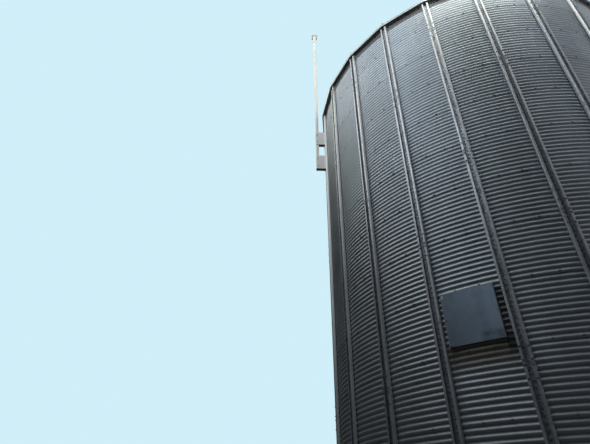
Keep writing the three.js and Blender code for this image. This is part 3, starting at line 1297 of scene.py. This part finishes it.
@dataclass
class Wall(Assembly):
    """Corrugated wall in rings of lapped sheets, bolted along their seams."""

    depth: float = 0.013
    thickness: float = 0.0015
    lap: float = 0.034
    lap_rise: float = 0.0018
    steps_per_corrugation: int = 8
    columns_per_bay: int = 4
    joint_gap: float = 0.0003
    bolts_per_bay: int = 2

    def heights(self, low: float, high: float) -> np.ndarray:
        """Return the heights of a sheet's rows, in step with the corrugation.

        Args:
            low: height of its lower edge.
            high: height of its upper edge.

        Returns:
            The heights, upward.
        """
        step = self.layout.pitch / self.steps_per_corrugation
        first = math.floor(low / step + 1e-6) + 1
        last = math.ceil(high / step - 1e-6)
        return np.array([low, *(number * step for number in range(first, last)), high])

    def radii(self, heights: np.ndarray, lap_from: float) -> np.ndarray:
        """Return the outer radius at each height.

        Args:
            heights: of the rows.
            lap_from: the sheet's lower edge, where it lies over the sheet below.

        Returns:
            The radius of each row.
        """
        wave = 0.5 - 0.5 * np.cos(heights * ROUND / self.layout.pitch)
        fade = np.clip(1 - (heights - lap_from) / (2 * self.lap + self.layout.pitch), 0, 1)
        rise = self.lap_rise * fade * fade * (3 - 2 * fade)
        return self.layout.wall_radius - self.lap_rise - self.depth * wave + rise

    def ring_sheet(self, segment: int, ring: int) -> Shape:
        """Make one sheet of the wall.

        Args:
            segment: which eighth of the wall, from zero.
            ring: which ring, from zero at the ground.

        Returns:
            The corrugated sheet.
        """
        layout = self.layout
        bays = layout.bays // layout.wall_segments
        low = ring * layout.ring_height - (self.lap if ring else 0.0)
        high = min((ring + 1) * layout.ring_height + self.lap, layout.wall_top)
        heights = self.heights(low, high)
        radii = self.radii(heights, low if ring else -1.0)
        trim = self.joint_gap / 2 / layout.wall_radius
        angles = np.linspace(
            layout.line(segment * bays) + trim,
            layout.line((segment + 1) * bays) - trim,
            bays * self.columns_per_bay + 1,
        )
        front = round_grid(radii, heights, angles)
        return sheet(front, round_grid(radii - self.thickness, heights, angles))

    def seam_places(self) -> Iterator[Matrix]:
        """Find the seam bolts.

        Yields:
            The place of each, facing outward.
        """
        layout = self.layout
        for ring in range(1, layout.rings):
            for bay in range(layout.bays):
                for bolt in range(1, self.bolts_per_bay + 1):
                    angle = layout.line(bay + bolt / (self.bolts_per_bay + 1))
                    yield facing_out(angle, layout.wall_radius, ring * layout.ring_height)

    def build(self) -> None:
        """Build the wall's sheets, seam bolts and washers."""
        for segment in range(self.layout.wall_segments):
            draft = Draft(*(self.ring_sheet(segment, ring) for ring in range(self.layout.rings)))
            node = f"wall_segment_{segment + 1}"
            self.put(f"wall_sheets_{segment + 1}", draft, ZINC_WALL, "wall_sheet", [node])
        names = ("seam_bolts", "seam_washers")
        self.put_fasteners(names, Fastener.SEAM, list(self.seam_places()), "wall_sheet")


@dataclass
class Stiffeners(Assembly):
    """Lipped channels in lengths, with sleeves at their joints, bolts and foot plates."""

    width: float = 0.132
    lip: float = 0.033
    thickness: float = 0.003
    bend: float = 0.006
    sleeve_length: float = 0.42
    joint_gap: float = 0.005
    splice_bolts: tuple[float, ...] = (-0.19, -0.03, 0.03, 0.19)
    first_joints: Pair = (1.676, 3.100)
    joint_spacing_rings: int = 4
    foot_thickness: float = 0.012
    foot_bevel: float = 0.0015
    foot_bolt_aside: float = 0.062
    foot_bolt_ahead: float = 0.028
    anchor_rod: tuple[Pair, ...] = ((0.008, 0.0), (0.008, 0.032), (0.0065, 0.034))

    def section(self, back: float, depth: float, half: float, bend: float) -> np.ndarray:
        """Return the outline of a lipped channel that opens outward.

        Args:
            back: distance of its back from the local origin.
            depth: distance of its lips' face from there.
            half: half its width.
            bend: outer radius of its folds.

        Returns:
            The anticlockwise outline.
        """
        slot = self.width / 2 - self.lip
        left = [(depth, -slot), (depth, -half), (back, -half)]
        right = [(x, -y) for x, y in reversed(left)]
        return folded(rounded(left + right, bend), self.thickness)

    def joints(self, number: int, top: float) -> list[float]:
        """Return the heights of one stiffener's joints, staggered from line to line.

        Args:
            number: of its line, from zero.
            top: height of its top.

        Returns:
            The heights, upward.
        """
        spacing = self.joint_spacing_rings * self.layout.ring_height
        first = self.first_joints[(number + 1) % 2]
        count = int((top - self.sleeve_length - first) / spacing) + 1
        return [first + spacing * index for index in range(count)]

    def build(self) -> None:
        """Build the stiffeners one by one."""
        for number in range(self.layout.bays):
            self.build_one(number)

    def build_one(self, number: int) -> None:
        """Build one stiffener with its foot, and its bolts.

        Args:
            number: of its line, from zero.
        """
        node = f"stiffener_{number + 1:02d}"
        angle = self.layout.line(number)
        low, high = box_at(node, angle)
        back = low.x
        depth = max(point.x for point in points_at(node, angle) if point.z > ABOVE_FEET) - back
        half = self.width / 2
        joints = self.joints(number, high.z)
        gap = self.joint_gap / 2
        cuts = [joint + shift for joint in joints for shift in (-gap, gap)]
        ends = [self.foot_thickness, *cuts, high.z]
        outer = self.section(0.0, depth, half, self.bend)
        inset = self.thickness + TOUCH
        sleeve = self.section(inset, depth - inset, half - inset, self.bend - self.thickness)
        reach = self.sleeve_length / 2
        shapes = [prism(outer, start, end) for start, end in zip(ends[::2], ends[1::2])]
        shapes += [prism(sleeve, joint - reach, joint + reach) for joint in joints]
        foot_high = (high.x - back, high.y, self.foot_thickness)
        shapes.append(plate((0.0, low.y, 0.0), foot_high, self.foot_bevel))
        place = at_angle(angle, back)
        draft = Draft(*(shape.moved(place) for shape in shapes))
        self.put(f"stiffener_channel_{number + 1:02d}", draft, ZINC_CHANNEL, "stiffener_steel", [node])
        bolts = Draft()
        bolts.repeat(Fastener.CHANNEL.head(), self.bolt_places(angle, back, high.z, joints))
        on_lips = [
            facing_out(angle, back + depth - TOUCH, joint + shift, side * (half - self.lip / 2))
            for joint in joints
            for shift in self.splice_bolts
            for side in (-1, 1)
        ]
        bolts.fasten(Fastener.SPLICE, on_lips)
        anchors = [
            at_angle(angle, back + depth + self.foot_bolt_ahead, self.foot_thickness, side)
            for side in (-self.foot_bolt_aside, self.foot_bolt_aside)
        ]
        bolts.fasten(Fastener.ANCHOR, anchors)
        bolts.repeat(turned(self.anchor_rod, 10), anchors)
        self.put(f"stiffener_bolts_{number + 1:02d}", bolts, OLD_BOLT, "stiffener_steel")

    def bolt_places(
        self,
        angle: float,
        back: float,
        top: float,
        joints: list[float],
    ) -> Iterator[Matrix]:
        """Find the bolts inside one channel, on the crests of the wall.

        Args:
            angle: of the stiffener's line.
            back: radius of its back.
            top: height of its top.
            joints: heights of its joints.

        Yields:
            Places that face outward.
        """
        pitch = self.layout.pitch
        for number in range(1, int(min(top, self.layout.wall_top) / pitch)):
            height = number * pitch
            sleeved = any(abs(height - joint) < self.sleeve_length / 2 for joint in joints)
            seat = self.thickness * 2 + TOUCH if sleeved else self.thickness
            yield facing_out(angle, back + seat - SUNK, height)


@dataclass
class EaveClosure(Assembly):
    """Fluted strips between the last corrugation and the roof, flat in each bay, painted dark as painted
    shade.
    """

    flutes_per_bay: int = 22
    flute: tuple[Pair, ...] = ((0.0, 0.0), (0.38, 0.0), (0.5, 1.0), (0.88, 1.0))
    flute_depth: float = 0.004
    thickness: float = 0.0012
    lift: float = 0.008

    def build(self) -> None:
        """Build the closure all round."""
        line = self.layout.line
        corner = reach_of("eave_band")
        low, high = (point.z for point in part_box("eave_band"))
        steps = [
            ((flute + share_of_flute) / self.flutes_per_bay, inset * self.flute_depth)
            for flute in range(self.flutes_per_bay)
            for share_of_flute, inset in self.flute
        ]
        plan = []
        for bay in range(self.layout.bays):
            start, end = (corner * outward(line(number)) for number in (bay, bay + 1))
            inward = -outward(line(bay + 0.5))
            plan += [start + (end - start) * along + inward * inset for along, inset in steps]
        outline = np.array(plan)
        inner = outline * (1 - self.thickness / corner)
        top = high + self.lift
        shell = sheet(standing(outline, low, top), standing(inner, low, top), closed=True)
        self.put("eave_closure", Draft(shell), SHADED_CLOSURE, "eave_closure", ["eave_band"])


@dataclass
class Roof(Assembly):
    """Flat roof panels with pressed beads and a hemmed drip edge, ribs and eye bolts."""

    solid_thickness: float = 0.010
    drip_depth: float = 0.045
    inner_apothem: float = 0.430
    thickness: float = 0.0016
    bend: float = 0.005
    hem: float = 0.011
    seam_gap: float = 0.0004
    bead_width: float = 0.052
    bead_height: float = 0.009
    bead_offsets: tuple[float, ...] = (-0.25, 0.0, 0.25)
    bead_margin: float = 0.13
    bead_clear: float = 0.16
    bead_end: tuple[Pair, ...] = ((0.0, 0.15), (0.04, 0.8), (0.08, 1.0))
    bead_sunk: float = 0.0012
    rib_base: float = 0.046
    rib_top: float = 0.020
    rib_height: float = 0.045
    rib_sunk: float = 0.006
    rib_toe: float = 0.003
    rib_bevel: float = 0.004
    rib_foot: tuple[Pair, ...] = ((0.0, 0.30), (0.035, 1.0))
    rib_head: tuple[Pair, ...] = ((0.05, 1.0), (0.0, 0.25))
    rib_offset: float = 0.014
    rib_inner_apothem: float = 0.640
    rib_setback: float = 0.030
    rib_bolt_from: float = 0.08
    rib_bolt_spacing: float = 0.305
    lug_height: float = 0.110
    lug_wire: float = 0.0055
    lug_eye: float = 0.0145
    lug_radius_setback: float = 0.037
    lug_aside: float = 0.005
    lug_sunk: float = 0.004
    lug_shoulder: tuple[Pair, ...] = ((0.010, -0.008), (0.010, -0.002), (0.007, 0.0))
    lug_nut: tuple[Pair, ...] = ((0.011, 0.020), (0.011, 0.031), (0.009, 0.034))

    @property
    def slope(self) -> float:
        """Angle of the panels to the level."""
        return self.layout.roof_slope

    @property
    def edge_apothem(self) -> float:
        """Apothem of the drip edge."""
        return reach_of("roof_sector_1") / self.layout.facet_ratio

    @property
    def edge_foot(self) -> float:
        """Height of the drip edge's foot."""
        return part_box("roof_sector_1")[0].z

    @property
    def edge_top(self) -> float:
        """Height of the panels' top face at the drip edge."""
        return self.edge_foot + self.drip_depth + self.solid_thickness / math.cos(self.slope)

    def top(self, apothem: float) -> float:
        """Return the height of the panels' top face at an apothem."""
        return self.edge_top + (self.edge_apothem - apothem) * math.tan(self.slope)

    def panel(self, bay: int) -> Shape:
        """Make one panel, from the collar down over its drip edge.

        Args:
            bay: which bay it covers, from zero.

        Returns:
            The folded panel.
        """
        edge = self.edge_apothem
        foot = self.edge_foot
        hem = [(edge - self.hem, foot + 2.2 * self.thickness), (edge - self.thickness, foot)]
        path = [
            (edge, foot + self.thickness),
            (edge, self.edge_top),
            (self.inner_apothem, self.top(self.inner_apothem)),
        ]
        outer = np.vstack([hem, rounded(path, self.bend)])
        inner = beside(outer, -self.thickness)
        return sheet(self.between_seams(bay, outer), self.between_seams(bay, inner))

    def between_seams(self, bay: int, profile: np.ndarray) -> np.ndarray:
        """Run a profile from one seam line to the next.

        Args:
            bay: between which lines, from zero.
            profile: apothem and height of each point.

        Returns:
            The grid of points, in two columns.
        """
        columns = []
        for number, sign in ((bay, 1), (bay + 1, -1)):
            along = outward(self.layout.line(number))
            aside = np.array((-along[1], along[0])) * sign * self.seam_gap / 2
            plan = profile[:, :1] * self.layout.facet_ratio * along + aside
            columns.append(np.column_stack([plan, profile[:, 1]]))
        return np.stack(columns, axis=1)

    def bead(self, bay: int, aside: float) -> Shape:
        """Make one pressed bead that runs down a panel.

        Args:
            bay: which bay it is in.
            aside: how far from the panel's middle line.

        Returns:
            The bead with tapered ends.
        """
        beside_rib = (abs(aside) + self.bead_margin) / math.tan(self.layout.bay / 2)
        inner = max(beside_rib, self.rib_inner_apothem + self.bead_clear)
        outer = self.edge_apothem - self.bead_margin
        length = (outer - inner) / math.cos(self.slope)
        steps = [*self.bead_end, *((length - along, size) for along, size in reversed(self.bead_end))]
        arch = np.linspace(0.0, math.pi, 7)
        loops = []
        for along, size in steps:
            across = np.cos(arch) * self.bead_width / 2 * (0.4 + 0.6 * size)
            rise = np.sin(arch) * self.bead_height * size
            upper = np.column_stack([np.full(len(arch), along), across, rise])
            lower = [(along, across[-1], -self.bead_sunk), (along, across[0], -self.bead_sunk)]
            loops.append(np.vstack([upper, lower]))
        place = at_angle(self.layout.line(bay + 0.5), inner, self.top(inner), aside)
        return loft(loops).moved(place @ Matrix.Rotation(self.slope, 4, "Y"))

    def seam_length(self) -> float:
        """Return the length of a rib along its seam line."""
        run = (self.edge_apothem - self.rib_inner_apothem) * self.layout.facet_ratio
        return math.hypot(run, self.top(self.rib_inner_apothem) - self.edge_top) - self.rib_setback

    def rib_start(self, number: int) -> Matrix:
        """Place a rib's lower end, with x up along its seam line and z off the roof.

        Args:
            number: of the line, from zero.

        Returns:
            The place.
        """
        ratio = self.layout.facet_ratio
        pitch = math.atan(math.tan(self.slope) / ratio)
        inward = Matrix.Rotation(math.pi, 4, "Z") @ Matrix.Rotation(-pitch, 4, "Y")
        foot = at_angle(self.layout.line(number), self.edge_apothem * ratio, self.edge_top)
        return foot @ inward @ Matrix.Translation((self.rib_setback, 0, 0))

    def rib(self, number: int) -> Shape:
        """Make the rib on one seam line.

        Args:
            number: of the line, from zero.

        Returns:
            The rib with slanted ends.
        """
        length = self.seam_length()
        base = self.rib_base / 2
        crown = self.rib_top / 2
        bevel = self.rib_bevel
        loops = []
        for along, size in (*self.rib_foot, *((length - back, size) for back, size in self.rib_head)):
            rise = self.rib_height * size
            right = [
                (base, -self.rib_sunk),
                (base, self.rib_toe),
                (crown + bevel, rise - bevel),
                (crown, rise),
            ]
            section = right + [(-y, z) for y, z in reversed(right)]
            loops.append(np.array([(along, y - self.rib_offset, z) for y, z in section]))
        return loft(loops).moved(self.rib_start(number))

    def rib_bolts(self, number: int) -> Iterator[Matrix]:
        """Find the bolts on a rib's crown.

        Args:
            number: of the line, from zero.

        Yields:
            Places whose z points off the roof.
        """
        count = int((self.seam_length() - 2 * self.rib_bolt_from) / self.rib_bolt_spacing) + 1
        for along in (self.rib_bolt_from + index * self.rib_bolt_spacing for index in range(count)):
            shift = Matrix.Translation((along, -self.rib_offset, self.rib_height - SUNK))
            yield self.rib_start(number) @ shift

    def lug(self, number: int) -> list[Shape]:
        """Make the eye bolt at one rib's foot.

        Args:
            number: of the line, from zero.

        Returns:
            Its ring in the upright plane through the axis, its stem, shoulder and nut.
        """
        wire = circle(self.lug_wire, 8)
        outline = np.column_stack([wire[:, 0] + self.lug_eye, wire[:, 1]])
        half = self.lug_eye + self.lug_wire
        top = self.edge_top + self.lug_height
        ring = turned_ring(outline, 20).moved(Matrix.Translation((0, 0, top - half)) @ TIPPED)
        foot = self.edge_top - self.lug_sunk
        neck = top - 2 * half + self.lug_sunk
        stem = turned([(self.lug_wire, foot), (self.lug_wire, neck)], 10)
        shoulder = turned([(radius, neck + rise) for radius, rise in self.lug_shoulder], 12)
        nut = turned([(radius, foot + rise) for radius, rise in self.lug_nut], 6)
        radius = self.edge_apothem * self.layout.facet_ratio - self.lug_radius_setback
        place = at_angle(self.layout.line(number), radius, 0.0, self.lug_aside)
        return [shape.moved(place) for shape in (ring, stem, shoulder, nut)]

    def build(self) -> None:
        """Build the panels, beads, ribs, bolts and eye bolts, sector by sector."""
        bays = self.layout.bays // self.layout.roof_sectors
        for sector in range(self.layout.roof_sectors):
            lines = range(sector * bays, (sector + 1) * bays)
            panels = Draft(*(self.panel(bay) for bay in lines))
            panels.add(*(self.bead(bay, aside) for bay in lines for aside in self.bead_offsets))
            node = f"roof_sector_{sector + 1}"
            self.put(f"roof_panels_{sector + 1}", panels, ZINC_ROOF, "roof_sheet", [node])
            ribs = Draft(*(self.rib(number) for number in lines))
            self.put(f"roof_ribs_{sector + 1}", ribs, ZINC_ROOF, "roof_sheet")
        numbers = range(self.layout.bays)
        places = [place for number in numbers for place in self.rib_bolts(number)]
        self.put_fasteners(("roof_rib_bolts", "roof_rib_washers"), Fastener.RIB, places, "roof_sheet")
        lugs = Draft(*(shape for number in numbers for shape in self.lug(number)))
        self.put("roof_eye_bolts", lugs, ZINC_BOLT, "roof_sheet")


@dataclass
class Collar(Assembly):
    """Rolled filling collar with a skirt over the panels and a bolted flange."""

    sides: int = 96
    sheet_thickness: float = 0.004
    skirt_thickness: float = 0.005
    skirt_radius: float = 0.600
    skirt_hem: float = 0.014
    flange_thickness: float = 0.012
    flange_bolts: int = 16
    bead_rise: float = 0.010
    bead_half: float = 0.016
    fillet: float = 0.004
    facet_gap: float = 0.002

    def build(self) -> None:
        """Build the collar and its bolts."""
        low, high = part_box("roof_collar")
        near = 0.001
        points = points_at("roof_collar")
        neck = max(point.xy.length for point in points if point.z < low.z + near) - self.facet_gap
        flange = max(point.xy.length for point in points if point.z > high.z - near) - self.facet_gap
        skirt = self.skirt_radius
        skirt_foot = max(point.z for point in points if point.xy.length > skirt) + self.facet_gap
        slope = self.layout.roof_slope
        skirt_top = skirt_foot + (skirt - neck) * math.tan(slope)
        drop = self.skirt_thickness / math.cos(slope)
        seat = high.z - self.flange_thickness
        bead_at = (skirt_top + seat) / 2
        bead = self.bead_half
        inner = neck - self.sheet_thickness
        fillet = self.fillet
        outline = [
            (inner, low.z),
            (inner, high.z),
            (flange, high.z),
            (flange, seat),
            (neck + fillet, seat),
            (neck, seat - fillet),
            (neck, bead_at + bead),
            (neck + self.bead_rise, bead_at + bead / 3),
            (neck + self.bead_rise, bead_at - bead / 3),
            (neck, bead_at - bead),
            (neck, skirt_top + fillet * 1.5),
            (neck + fillet * 2, skirt_top - fillet),
            (skirt, skirt_foot + fillet / 2),
            (skirt, skirt_foot - self.skirt_hem),
            (skirt - fillet, skirt_foot - self.skirt_hem),
            (skirt - fillet * 1.5, skirt_foot - drop),
            (neck, skirt_top - drop),
            (neck, low.z),
        ]
        ring = turned_ring(np.array(outline), self.sides)
        self.put("filling_collar", Draft(ring), ZINC, "collar_steel", ["roof_collar"])
        middle = (neck + flange) / 2 + fillet
        bolts = Draft()
        hung = [at_angle(turn, middle, seat) @ UPSIDE_DOWN for turn in turns_of(self.flange_bolts)]
        bolts.fasten(Fastener.FLANGE, hung)
        self.put("collar_bolts", bolts, ZINC_BOLT, "collar_steel")


@dataclass
class CoverPlate(Assembly):
    """Flat cover on the wall: a folded sheet with slight dents and a clip at one corner."""

    thickness: float = 0.0025
    bend: float = 0.005
    rows: int = 18
    columns: int = 18
    column_margin: float = 0.02
    flat_margin: float = 0.01
    dent: float = 0.0022
    dent_reach_across: float = 0.12
    dent_reach_up: float = 0.10
    clip_size: float = 0.030
    clip_proud: float = 0.004
    clip_sunk: float = 0.0015
    clip_bevel: float = 0.001
    screws_per_side: int = 3
    screw_aside: float = 0.022
    screw_up: float = 0.03

    def face(self, plan: np.ndarray, heights: np.ndarray, low: Vector, high: Vector) -> np.ndarray:
        """Dent one face of the folded sheet where it is flat.

        Args:
            plan: the face's path in plan.
            heights: of its rows.
            low: the plate's lowest corner.
            high: its highest corner.

        Returns:
            The grid of its points.
        """
        x = np.broadcast_to(plan[:, 0], (len(heights), len(plan)))
        z = np.broadcast_to(heights[:, None], x.shape)
        waves = np.sin(x * 9.1 + 0.7) * np.sin(z * 7.3 + 0.4)
        ripples = np.sin(x * 17.0 + z * 5.0) * 0.35
        depth = self.dent * (0.5 + 0.4 * waves + 0.25 * ripples)
        across = np.minimum(np.minimum(x - low.x, high.x - x) / self.dent_reach_across, 1.0)
        up = np.minimum(np.minimum(z - low.z, high.z - z) / self.dent_reach_up, 1.0)
        flat = (x > low.x + self.flat_margin) & (x < high.x - self.flat_margin)
        return np.stack([x, plan[:, 1] + np.where(flat, depth * across * up, 0.0), z], axis=-1)

    def build(self) -> None:
        """Build the plate, its screws and its clip."""
        low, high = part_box("cover_plate")
        margin = self.column_margin
        corners = [(low.x, high.y), (low.x, low.y), (high.x, low.y), (high.x, high.y)]
        path = rounded(corners, self.bend)
        half = len(path) // 2
        inside = np.linspace(low.x + margin, high.x - margin, self.columns)
        plan = np.vstack([path[:half], [(x, low.y) for x in inside], path[half:]])
        heights = np.linspace(low.z, high.z, self.rows)
        front = self.face(plan, heights, low, high)
        back = self.face(beside(plan, -self.thickness), heights, low, high)
        self.put("cover_plate_sheet", Draft(sheet(front, back)), COVER, "cover_sheet", ["cover_plate"])
        screws = Draft()
        rows = np.linspace(low.z + self.screw_up, high.z - self.screw_up, self.screws_per_side)
        spots = [
            Matrix.Translation((x, low.y + SUNK, height)) @ TIPPED
            for x in (low.x + self.screw_aside, high.x - self.screw_aside)
            for height in rows
        ]
        screws.repeat(Fastener.RIB.head(), spots)
        self.put("cover_plate_screws", screws, ZINC_BOLT, "cover_sheet")
        size = self.clip_size
        clip_low = (low.x + size * 0.25, low.y - self.clip_proud, high.z - size * 2.2)
        clip_high = (low.x + size * 1.25, low.y + self.clip_sunk, high.z - size * 0.6)
        clip = Draft(plate(clip_low, clip_high, self.clip_bevel))
        self.put("cover_plate_clip", clip, ZINC_POST, "cover_sheet")


@dataclass
class CatwalkPost(Assembly):
    """Square tube with a cap plate, held by two box brackets on a stiffener."""

    line_number: int = 14
    size: float = 0.076
    wall: float = 0.004
    corner: float = 0.009
    corner_steps: int = 3
    cap_thickness: float = 0.012
    cap_bolt_aside: float = 0.068
    plate_thickness: float = 0.008
    plate_overlap: float = 0.001
    bevel: float = 0.0015
    bolt_margin: float = 0.10

    @property
    def angle(self) -> float:
        """Angle of the post's stiffener line."""
        return self.layout.line(self.line_number)

    @property
    def inside(self) -> float:
        """Distance of a bracket's cheeks from the post's middle."""
        return self.size / 2 + TOUCH

    def rounded_square(self, size: float, corner: float) -> np.ndarray:
        """Outline a square tube.

        Args:
            size: across its flats.
            corner: radius of its corners.

        Returns:
            The outline, anticlockwise.
        """
        points = []
        for quarter in range(4):
            diagonal = outward((quarter + 0.5) * QUARTER) * math.sqrt(2)
            middle = diagonal * (size / 2 - corner)
            for step in range(self.corner_steps + 1):
                points.append(middle + corner * outward((quarter + step / self.corner_steps) * QUARTER))
        return np.array(points)

    def build(self) -> None:
        """Build the post and both brackets."""
        low, high = box_at("catwalk_post", self.angle)
        centre = (low.x + high.x) / 2
        half = (high.x - low.x) / 2
        place = at_angle(self.angle, centre)
        cap_low = high.z - self.cap_thickness
        outer = self.rounded_square(self.size, self.corner)
        inner = self.rounded_square(self.size - 2 * self.wall, self.corner - self.wall)
        tube = sheet(standing(outer, low.z, cap_low), standing(inner, low.z, cap_low), closed=True)
        cap = plate((-half, -half, cap_low), (half, half, high.z), self.bevel)
        draft = Draft(tube.moved(place), cap.moved(place))
        self.put("post_tube", draft, ZINC_POST, "post_steel", ["catwalk_post"])
        bolts = Draft()
        sides = (-self.cap_bolt_aside, self.cap_bolt_aside)
        corners = [Matrix.Translation((x, y, cap_low)) for x in sides for y in sides]
        bolts.repeat(Fastener.BRACKET.head(), [place @ corner @ UPSIDE_DOWN for corner in corners])
        for node in BRACKETS:
            self.build_bracket(node, centre)
            bolts.fasten(Fastener.BRACKET, list(self.bracket_bolts(node, centre)))
        self.put("post_bolts", bolts, ZINC_BOLT, "bracket_steel")

    def build_bracket(self, node: str, centre: float) -> None:
        """Build one bracket of bevelled plates.

        Args:
            node: the bracket's node.
            centre: radius of the post's middle.
        """
        low, high = box_at(node, self.angle)
        thick = self.plate_thickness
        inside = self.inside
        outside = inside + thick
        lapped = inside + self.plate_overlap
        back = low.x + self.plate_overlap
        before_post = centre - inside
        floor_reach = high.x if node.endswith("lower") else before_post
        boxes = [
            ((low.x, low.y, low.z), (low.x + thick, high.y, high.z)),
            ((back, -outside, low.z), (high.x, -inside, high.z)),
            ((back, inside, low.z), (high.x, outside, high.z)),
            ((back, -lapped, low.z), (floor_reach, lapped, low.z + thick)),
            ((back, -lapped, high.z - thick), (before_post, lapped, high.z)),
        ]
        place = at_angle(self.angle)
        draft = Draft(*(plate(corner, other, self.bevel).moved(place) for corner, other in boxes))
        name = node.replace("post_bracket", "bracket_plates")
        self.put(name, draft, ZINC_BRACKET, "bracket_steel", [node])

    def bracket_bolts(self, node: str, centre: float) -> Iterator[Matrix]:
        """Find one bracket's bolts, on its cheeks.

        Args:
            node: the bracket's node.
            centre: radius of the post's middle.

        Yields:
            Places whose z points off the plate.
        """
        low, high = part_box(node)
        outside = self.inside + self.plate_thickness
        for side in (-1, 1):
            off_cheek = Matrix.Rotation(-side * QUARTER, 4, "X")
            for height in (low.z + self.bolt_margin, high.z - self.bolt_margin):
                yield at_angle(self.angle, centre, height, side * outside) @ off_cheek


@dataclass(frozen=True)
class Softbox:
    """A soft lamp that stands upright round the silo and faces its axis.

    Attributes:
        degrees: where it stands, round the axis.
        radiance: brightness of its face.
        colour: of its light.
        distance: from the axis.
        foot: height of its lower edge.
        width: across its face.
        height: of its face.
    """

    degrees: float
    radiance: float
    colour: Colour = (1.0, 1.0, 1.0)
    distance: float = 9.5
    foot: float = 11.2
    width: float = 5.0
    height: float = 8.0


SOFTBOXES = {
    "softbox_far_left": Softbox(190, 2.05, (1.0, 0.97, 0.78), foot=13.0, height=6.4),
    "softbox_left": Softbox(225, 2.46, (0.94, 0.95, 0.98), height=4.0),
    "softbox_left_top": Softbox(225, 2.42, (1.0, 0.96, 0.76), foot=15.2, height=4.0),
    "softbox_front": Softbox(260, 2.64, (0.83, 0.90, 1.0), foot=10.2, height=4.0),
    "softbox_front_top": Softbox(260, 2.54, (0.97, 0.97, 0.84), foot=14.2, height=5.0),
    "softbox_right": Softbox(325, 1.00, (0.95, 0.95, 1.0)),
    "softbox_rear": Softbox(85, 1.30, width=12.0),
    "eave_lamp": Softbox(296, 4.00, (1.0, 0.97, 0.84), 4.8, 11.0, 3.4, 4.0),
    "side_panel": Softbox(15, 3.20, distance=15.0, foot=3.5, width=10.0, height=10.0),
    "rear_panel": Softbox(85, 1.70, distance=15.0, foot=3.5, width=14.0, height=10.0),
    "back_panel": Softbox(122, 2.40, distance=15.0, foot=3.5, width=7.0, height=10.0),
}


@dataclass
class Studio:
    """Plain floor, plain soft light and the camera at the photograph's angle."""

    camera_place: tuple[float, float, float] = (1.318, -9.488, 1.475)
    camera_heading: Pair = (-0.5893, 0.8079)
    camera_pitch: float = math.radians(34.76)
    camera_roll: float = math.radians(0.6)
    camera_reach: float = 500.0
    focal_pixels: float = 444.0
    image_width: int = 590
    sensor: float = 36.0
    floor_radius: float = 450.0
    floor_heights: Pair = (-0.030, -0.002)
    floor_colour: Colour = (0.14, 0.14, 0.14)
    backdrop: Colour = (0.63, 0.86, 0.95)
    dim_sky: Colour = (0.027, 0.030, 0.034)

    def build_camera(self) -> None:
        """Set the camera where the photograph was taken."""
        heading = Vector((*self.camera_heading, 0.0)).normalized()
        right = heading.cross(Vector((0, 0, 1)))
        forward = heading * math.cos(self.camera_pitch) + Vector((0, 0, math.sin(self.camera_pitch)))
        up = right.cross(forward)
        cosine, sine = math.cos(self.camera_roll), math.sin(self.camera_roll)
        rolled_right = right * cosine + up * sine
        rolled_up = up * cosine - right * sine
        turn = Matrix((rolled_right, rolled_up, -forward)).transposed()
        data = bpy.data.cameras.new("camera")
        data.sensor_width = self.sensor
        data.lens = self.focal_pixels / self.image_width * self.sensor
        data.clip_end = self.camera_reach
        camera = bpy.data.objects.new("camera", data)
        camera.matrix_world = Matrix.Translation(self.camera_place) @ turn.to_4x4()
        bpy.context.scene.collection.objects.link(camera)
        bpy.context.scene.camera = camera

    def build_floor(self) -> None:
        """Lay the pale floor."""
        disc = turned([(self.floor_radius, height) for height in self.floor_heights], 96)
        floor = Draft(disc).to_object("floor", 30.0)
        floor.data.materials.append(FloorPaint("pale_floor", self.floor_colour, 0.0, 0.9).material())

    def build_world(self) -> None:
        """Fill the shadows a little, behind a plain pale backdrop that only the camera sees."""
        world = bpy.data.worlds.new("studio")
        bpy.context.scene.world = world
        world.use_nodes = True
        graph = Graph(world.node_tree)
        sky, plain = (
            graph.node("ShaderNodeBackground", {}, {"Color": opaque(colour), "Strength": 1.0})
            for colour in (self.dim_sky, self.backdrop)
        )
        seen = graph.node("ShaderNodeLightPath", {}, {}, "Is Camera Ray")
        both = graph.node("ShaderNodeMixShader", {}, {0: seen, 1: sky, 2: plain})
        graph.node("ShaderNodeOutputWorld", {}, {"Surface": both})

    def build_softbox(self, name: str, box: Softbox) -> None:
        """Hang one soft lamp that faces the silo's axis, out of the camera's sight.

        Args:
            name: of the lamp.
            box: its place, size and light.
        """
        data = bpy.data.lights.new(name, "AREA")
        data.shape = "RECTANGLE"
        data.size = box.width
        data.size_y = box.height
        data.energy = box.radiance * math.pi * box.width * box.height
        data.color = box.colour
        lamp = bpy.data.objects.new(name, data)
        inward = Matrix.Rotation(QUARTER, 4, "Z") @ TIPPED
        middle = box.foot + box.height / 2
        lamp.matrix_world = at_angle(math.radians(box.degrees), box.distance, middle) @ inward
        lamp.visible_camera = False
        bpy.context.scene.collection.objects.link(lamp)

    def build(self) -> None:
        """Build the floor, the world and the lamps."""
        self.build_floor()
        self.build_world()
        for name, box in SOFTBOXES.items():
            self.build_softbox(name, box)


def main() -> None:
    """Build the camera, the silo's sub-assemblies and the studio."""
    logging.basicConfig(level=logging.INFO, format="%(name)s %(message)s")
    bpy.context.scene.view_settings.view_transform = "Standard"
    studio = Studio()
    studio.build_camera()
    for assembly in (Wall, Stiffeners, EaveClosure, Roof, Collar, CoverPlate, CatwalkPost):
        assembly(LAYOUT).build()
    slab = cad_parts["floor_slab"].data
    slab.materials.clear()
    slab.materials.append(CONCRETE.material())
    studio.build()


if __name__ == "__main__":
    main()
